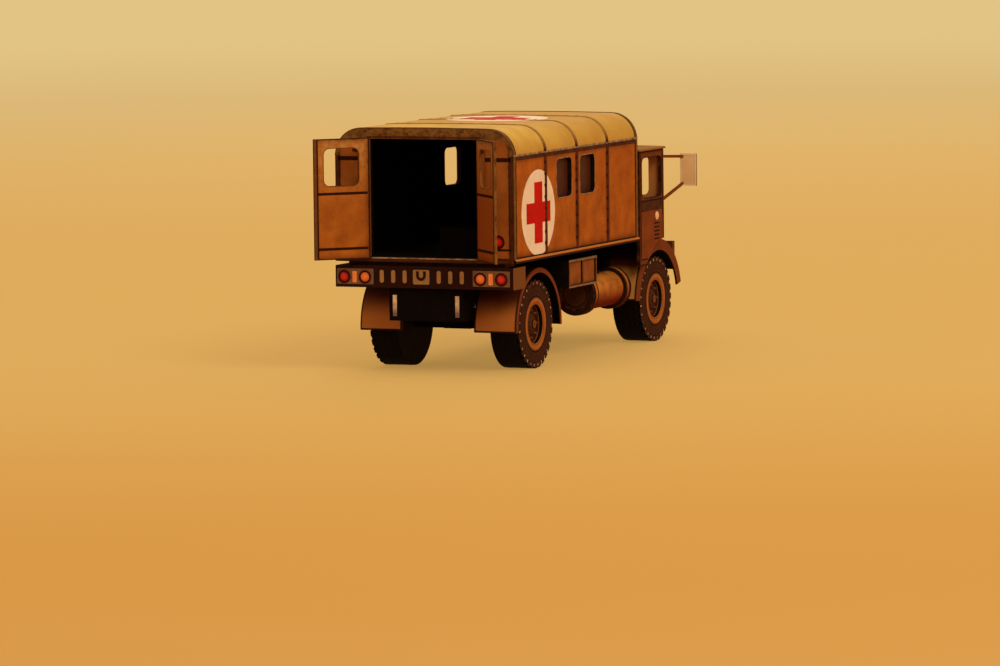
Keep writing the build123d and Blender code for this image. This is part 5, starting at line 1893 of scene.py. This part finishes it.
@dataclass
class FrontEnd(Assembly):
    """Bonnet with its louvres, radiator panel, headlamps and front bumper."""

    dresser: Dresser
    wall: float = 0.6
    corner: float = 1.5
    front_height: float = 10.2
    louvre_count: int = 9
    slot_base: float = 2.6
    slot_height: float = 5.6
    slot_width: float = 8.7

    def build(self) -> Pieces:
        """Makes and dresses the front end's pieces."""
        bonnet, grille = Extent.of("bonnet"), Extent.of("radiator_grille")
        yield self.bonnet(bonnet)
        yield from self.bonnet_prints(bonnet)
        yield from self.grille(grille)
        yield from self.headlamps()
        yield from self.bumper()

    def hoop(self, bonnet: Extent, front: bool) -> Hoop:
        """Section of the bonnet at one of its ends."""
        top = bonnet.low.z + self.front_height if front else bonnet.high.z
        return Hoop(bonnet.high.y, bonnet.low.z, top - self.corner, self.corner, 0.0001)

    def bonnet(self, box: Extent) -> Piece:
        """Folded bonnet that falls towards the front."""
        ends = ((False, box.low.x), (True, box.high.x))
        sections = [self.hoop(box, front).shell(x, self.wall) for front, x in ends]
        finish = Finish("bonnet_print", Ink.CAB, Ink.CAB_DEEP, cloud=4.0)
        return self.put(Shape().loft(sections), "bonnet_sheet", finish, "bonnet")

    def bonnet_prints(self, box: Extent) -> Pieces:
        """Hinge seams on top, a line along each side and the louvres below it."""
        rear, front = self.hoop(box, False), self.hoop(box, True)
        low, high = box.low.x, box.high.x
        seams, louvres = Path(), Path()
        for y in (-5.0, 0.0, 5.0):
            seams.straight([(low, y, rear.top), (high, y, front.top)], UPWARD, FORWARD)
        for side in Side:
            y, level, slot = side.value * rear.half, front.shoulder - 1.2, box.low.z + 5.2
            seams.straight([(low, y, level), (high, y, level)], side.out, FORWARD)
            louvres.straight([(low + 1.4, y, slot), (high - 1.4, y, slot)], side.out, UPWARD)
        yield self.keep(self.dresser.strip("bonnet_seams", seams, LINE_INK, 0.26, 0.1), LINE_INK)
        slats = self.dresser.blocks("bonnet_louvres", louvres, EDGE_PRINT, self.louvre_count,
                                    (3.2, 0.5, 0.22), taper=0.55)
        yield self.keep(slats, EDGE_PRINT)

    def grille(self, box: Extent) -> Pieces:
        """Radiator panel's print, the surround of its slots and the dark core behind them."""
        half, low = box.high.y, box.low.z
        WallFinish("grille_print", Ink.CAB, Ink.CAB_DEEP, slot=Slot.BROWN,
                   face=end_face(box.high.x, -half, low, forward=True), size=(2 * half, self.front_height),
                   outline_width=0.4, fade=1.4).dress("radiator_grille")
        v, width = self.slot_base + self.slot_height / 2, self.slot_width
        outer = rounded(0.0, v, width + 0.7, self.slot_height + 1.5, 0.8)
        inner = rounded(0.0, v, width, self.slot_height + 0.8, 0.5)
        surround = Shape(end_face(box.high.x, 0.0, low, forward=True)).frame(outer, inner, SUNK, 0.12)
        yield self.put(surround, "grille_surround", EDGE_PRINT)
        behind = end_face(box.low.x, 0.0, low)
        core = Shape(behind).bar(0.0, v, width, self.slot_height + 0.6, 0.2, foot=0.02)
        yield self.put(core, "radiator_core", BLACK_CARD)

    def headlamps(self) -> Pieces:
        """Drum-shaped headlamps with domed lenses."""
        box = Extent.of("headlamps")
        length, radius = box.length, box.height / 2
        face = end_face(box.low.x, 0.0, box.middle.z, forward=True)
        y, edge = box.high.y - radius, radius - 0.19
        shells, lenses = Shape(face), Shape(face)
        drum = [(radius - 0.25, SUNK), (radius, 0.25), (radius, length - 0.08), (radius - 0.08, length),
                (radius - 0.2, length), (radius - 0.2, SUNK)]
        lens = [(edge, length - 0.3), (edge, length - 0.12), (0.8 * edge, length - 0.03),
                (0.45 * edge, length + 0.03), (0.0, length + 0.05)]
        for side in Side:
            shells.turned(drum, SMALL, side.value * y, 0.0, loop=True)
            lenses.turned(lens, SMALL, side.value * y, 0.0)
        yield self.put(shells, "headlamp_shells", EDGE_PRINT, "headlamps")
        finish = DialFinish("headlamp_lens", Ink.LENS, Ink.LENS_RIM, radius=radius, coat=0.5)
        yield self.put(lenses, "headlamp_lenses", finish)

    def bumper(self) -> Pieces:
        """Front bumper's print with a blank plate and bolts."""
        box = Extent.of("front_bumper")
        WallFinish("front_bumper_print", Ink.REAR, Ink.REAR_DEEP,
                   face=end_face(box.high.x, -box.high.y, box.low.z, forward=True),
                   size=(2 * box.high.y, box.height), inside=Ink.EDGE, outline_width=0.3,
                   fade=0.9).dress("front_bumper")
        middle = end_face(box.high.x, 0.0, box.middle.z, forward=True)
        plate = Shape(middle).plate((-7.6, 0.0), (5.4, 1.7), 0.2, 4, 0.06)
        yield self.put(plate, "blank_plate", LINE_INK)
        bolts = Path()
        for side in Side:
            for v in (-0.8, 0.8):
                bolts.straight([middle.at(side.value * y, v) for y in (5.4, 6.9)], FORWARD, LEFTWARD)
        heads = self.dresser.rivets("front_bumper_bolts", bolts, LINE_INK, 2, 0.3, 0.2, 6, 0.0)
        yield self.keep(heads, LINE_INK)


@dataclass
class Mirror(Assembly):
    """One mirror on its two arms."""

    side: Side
    plate: Point2 = (3.1, 5.8)
    sheet: float = 0.35
    forward: float = 2.3  # of the plate's middle from the cab's front
    border: float = 0.25

    def build(self) -> Pieces:
        """Dresses the mirror and lays its face on the plate."""
        word = self.side.word
        box = Extent.of(f"mirror_{word}")
        CAB_PRINT.dress(f"mirror_{word}")
        width, height = self.plate
        y = box.outer_y(self.side) - self.side.value * width / 2
        back_x = Extent.of(f"cab_side_{word}").high.x + self.forward - self.sheet / 2
        face = end_face(back_x, y, box.high.z - height / 2)
        glass = (width - 2 * self.border, height - 2 * self.border)
        rim = Shape(face).frame(rounded(0.0, 0.0, *self.plate, 0.12, 3),
                                rounded(0.0, 0.0, *glass, 0.12, 3), SUNK, 0.08)
        border = Finish("mirror_border", Ink.MIRROR_RIM, Ink.MIRROR, slot=Slot.LAMP)
        yield self.put(rim, f"mirror_rim_{word}", border)
        finish = Finish("mirror_face", Ink.MIRROR, Ink.MIRROR_DEEP, cloud=5.0, coat=0.2,
                        roughness=0.5, slot=Slot.LAMP)
        yield self.put(Shape(face).bar(0.0, 0.0, *glass), f"mirror_face_{word}", finish)


@dataclass
class Underside(Assembly):
    """Frame, axles and springs, in black card."""

    steps: int = 36

    def build(self) -> Pieces:
        """Dresses the frame and turns the propeller shaft."""
        BLACK_CARD.dress("cross_members", "front_axle", "rear_axle", "front_springs", "rear_springs",
                         *(f"chassis_rail_{side.word}" for side in Side))
        box = Extent.of("propeller_shaft")
        half, radius = box.length / 2, box.height / 2
        end = [(0.0, half), (radius + 0.25, half), (radius + 0.25, half - 0.9), (radius, half - 1.1)]
        shape = Shape(end_face(*box.middle, forward=True)).turned(mirrored(end), self.steps)
        yield self.put(shape, "propeller_tube", BLACK_CARD, "propeller_shaft")


@dataclass(frozen=True)
class SoftLamp:
    """A square soft lamp aimed at the model."""

    name: str
    place: Point3
    size: float
    power: float

    def hang(self, aim: Point3) -> None:
        """Hangs the lamp.

        Args:
            aim: Point that it looks at.
        """
        data = bpy.data.lights.new(self.name, "AREA")
        data.size, data.energy = self.size * MM, self.power
        lamp = bpy.data.objects.new(self.name, data)
        lamp.location = Vector(self.place) * MM
        lamp.rotation_euler = (Vector(aim) - Vector(self.place)).to_track_quat("-Z", "Y").to_euler()
        bpy.context.scene.collection.objects.link(lamp)


@dataclass
class Studio:
    """Plain pale floor and background, soft lamps and the photograph's camera."""

    floor_tone: Colour = (0.67, 0.37, 0.097, 1.0)
    near_tone: Colour = (0.605, 0.268, 0.048, 1.0)
    near_span: Point2 = (-20.0, 350.0)
    even_share: float = 0.55  # of the floor's light that no lamp or shadow changes
    even_light: float = 1.08  # as bright as the lamps make the floor
    far_tone: Colour = (0.76, 0.55, 0.235, 1.0)
    far_span: Point2 = (150.0, 1500.0)
    sky_tone: Colour = (0.62, 0.42, 0.19, 1.0)
    sky_light: float = 0.55
    floor_size: float = 9000.0
    camera_from_rear: Point3 = (-979.4, -433.6, 99.3)
    azimuth: float = 23.2  # of the view, from X towards Y
    tilt: float = 4.928  # below the horizon
    roll: float = 0.664
    focal_pixels: float = 6262.0
    image_width: int = 1000
    sensor: float = 36.0
    lamps: tuple[SoftLamp, ...] = (
        SoftLamp("key_lamp", (-420.0, -620.0, 620.0), 420.0, 4.3),
        SoftLamp("fill_lamp", (-520.0, 640.0, 380.0), 520.0, 0.5),
        SoftLamp("front_lamp", (720.0, 240.0, 520.0), 480.0, 1.8),
        SoftLamp("top_lamp", (40.0, 60.0, 900.0), 520.0, 1.9),
    )

    def build(self, rear_x: float, aim: Point3) -> None:
        """Makes the floor, background, lamps and camera.

        Args:
            rear_x: X of the body's rear wall, which the camera is placed from.
            aim: Middle of the model.
        """
        self.floor()
        self.background()
        for lamp in self.lamps:
            lamp.hang(aim)
        self.camera(rear_x)

    def floor(self) -> None:
        """Round floor with a softened shadow, deeper towards the camera and even far away."""
        sheet = bmesh.new()
        bmesh.ops.create_circle(sheet, cap_ends=True, segments=96, radius=self.floor_size / 2 * MM)
        data = bpy.data.meshes.new("floor")
        sheet.to_mesh(data)
        sheet.free()
        graph = Graph("floor_paint")
        turn = math.radians(self.azimuth)
        towards = graph.dot(graph.place, (-math.cos(turn), -math.sin(turn), 0.0)).ramp(*self.near_span)
        tone = graph.mix(towards, self.floor_tone, self.near_tone)
        surface = {"Base Color": tone, "Roughness": 0.6, "Specular IOR Level": 0.0}
        shader = graph.add("ShaderNodeBsdfPrincipled", surface)
        seen = graph.seen()
        even = graph.add("ShaderNodeEmission", {"Color": tone, "Strength": self.even_light})
        near = graph.blend(seen * self.even_share, shader, even)
        far = graph.add("ShaderNodeEmission", {"Color": self.far_tone, "Strength": 1.0})
        share = graph.length(graph.place).ramp(*self.far_span) * seen
        graph.add("ShaderNodeOutputMaterial", {"Surface": graph.blend(share, near, far)})
        data.materials.append(graph.material)
        floor = bpy.data.objects.new("floor", data)
        bpy.context.scene.collection.objects.link(floor)

    def background(self) -> None:
        """Plain light all round, which the camera and reflections see in the floor's tone."""
        world = bpy.data.worlds.new("background")
        bpy.context.scene.world = world
        world.use_nodes = True
        tree = Tree(world.node_tree)
        light = tree.add("ShaderNodeBackground", {"Color": WHITE, "Strength": self.sky_light})
        shown = tree.add("ShaderNodeBackground", {"Color": self.sky_tone, "Strength": 1.0})
        tree.add("ShaderNodeOutputWorld", {"Surface": tree.blend(tree.seen(), light, shown)})

    def camera(self, rear_x: float) -> None:
        """Camera where the photograph was taken from."""
        turn, tilt, roll = (math.radians(angle) for angle in (self.azimuth, self.tilt, self.roll))
        ahead = Vector((math.cos(turn) * math.cos(tilt), math.sin(turn) * math.cos(tilt), -math.sin(tilt)))
        level = Vector((math.sin(turn), -math.cos(turn), 0.0))
        above = level.cross(ahead)
        right = math.cos(roll) * level - math.sin(roll) * above
        up = math.sin(roll) * level + math.cos(roll) * above
        data = bpy.data.cameras.new("camera")
        data.sensor_width = self.sensor
        data.lens = self.focal_pixels * self.sensor / self.image_width
        data.clip_start, data.clip_end = 0.05, 20.0
        camera = bpy.data.objects.new("camera", data)
        place = (Vector((rear_x, 0.0, 0.0)) + Vector(self.camera_from_rear)) * MM
        rotation = Matrix((right, up, -ahead)).transposed().to_4x4()
        camera.matrix_world = Matrix.Translation(place) @ rotation
        bpy.context.scene.collection.objects.link(camera)
        bpy.context.scene.camera = camera


def assemblies(dresser: Dresser) -> Iterator[Assembly]:
    """Every sub-assembly of the model in order."""
    yield LoadBody(dresser)
    for side in Side:
        yield RearDoor(side)
    yield RearEnd()
    for end in ("rear", "front"):
        for side in Side:
            yield Wheel(dresser, end, side)
            if end == "front":
                yield Mudguard(end, side, 2.8, 5.2, flange=2.0, foot=Ink.SHEET, pale=(5.0, 6.4))
            else:
                yield Mudguard(end, side)
    for side in Side:
        yield SideGear(side)
        yield Mirror(side)
    yield Cab(dresser)
    yield FrontEnd(dresser)
    yield Underside()


def main() -> None:
    """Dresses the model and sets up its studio."""
    logging.basicConfig(level=logging.INFO, format="%(message)s")
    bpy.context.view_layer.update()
    bpy.context.scene.view_settings.view_transform = "Standard"
    dresser = Dresser()
    for assembly in assemblies(dresser):
        for piece in assembly.build():
            LOG.info("%s: %s on %s, %d faces", type(assembly).__name__, piece.name, piece["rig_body"],
                     len(piece.data.polygons))
    body = Extent.of("load_floor")
    Studio().build(body.low.x, (0.0, 0.0, body.low.z))


if __name__ == "__main__":
    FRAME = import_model()
    main()
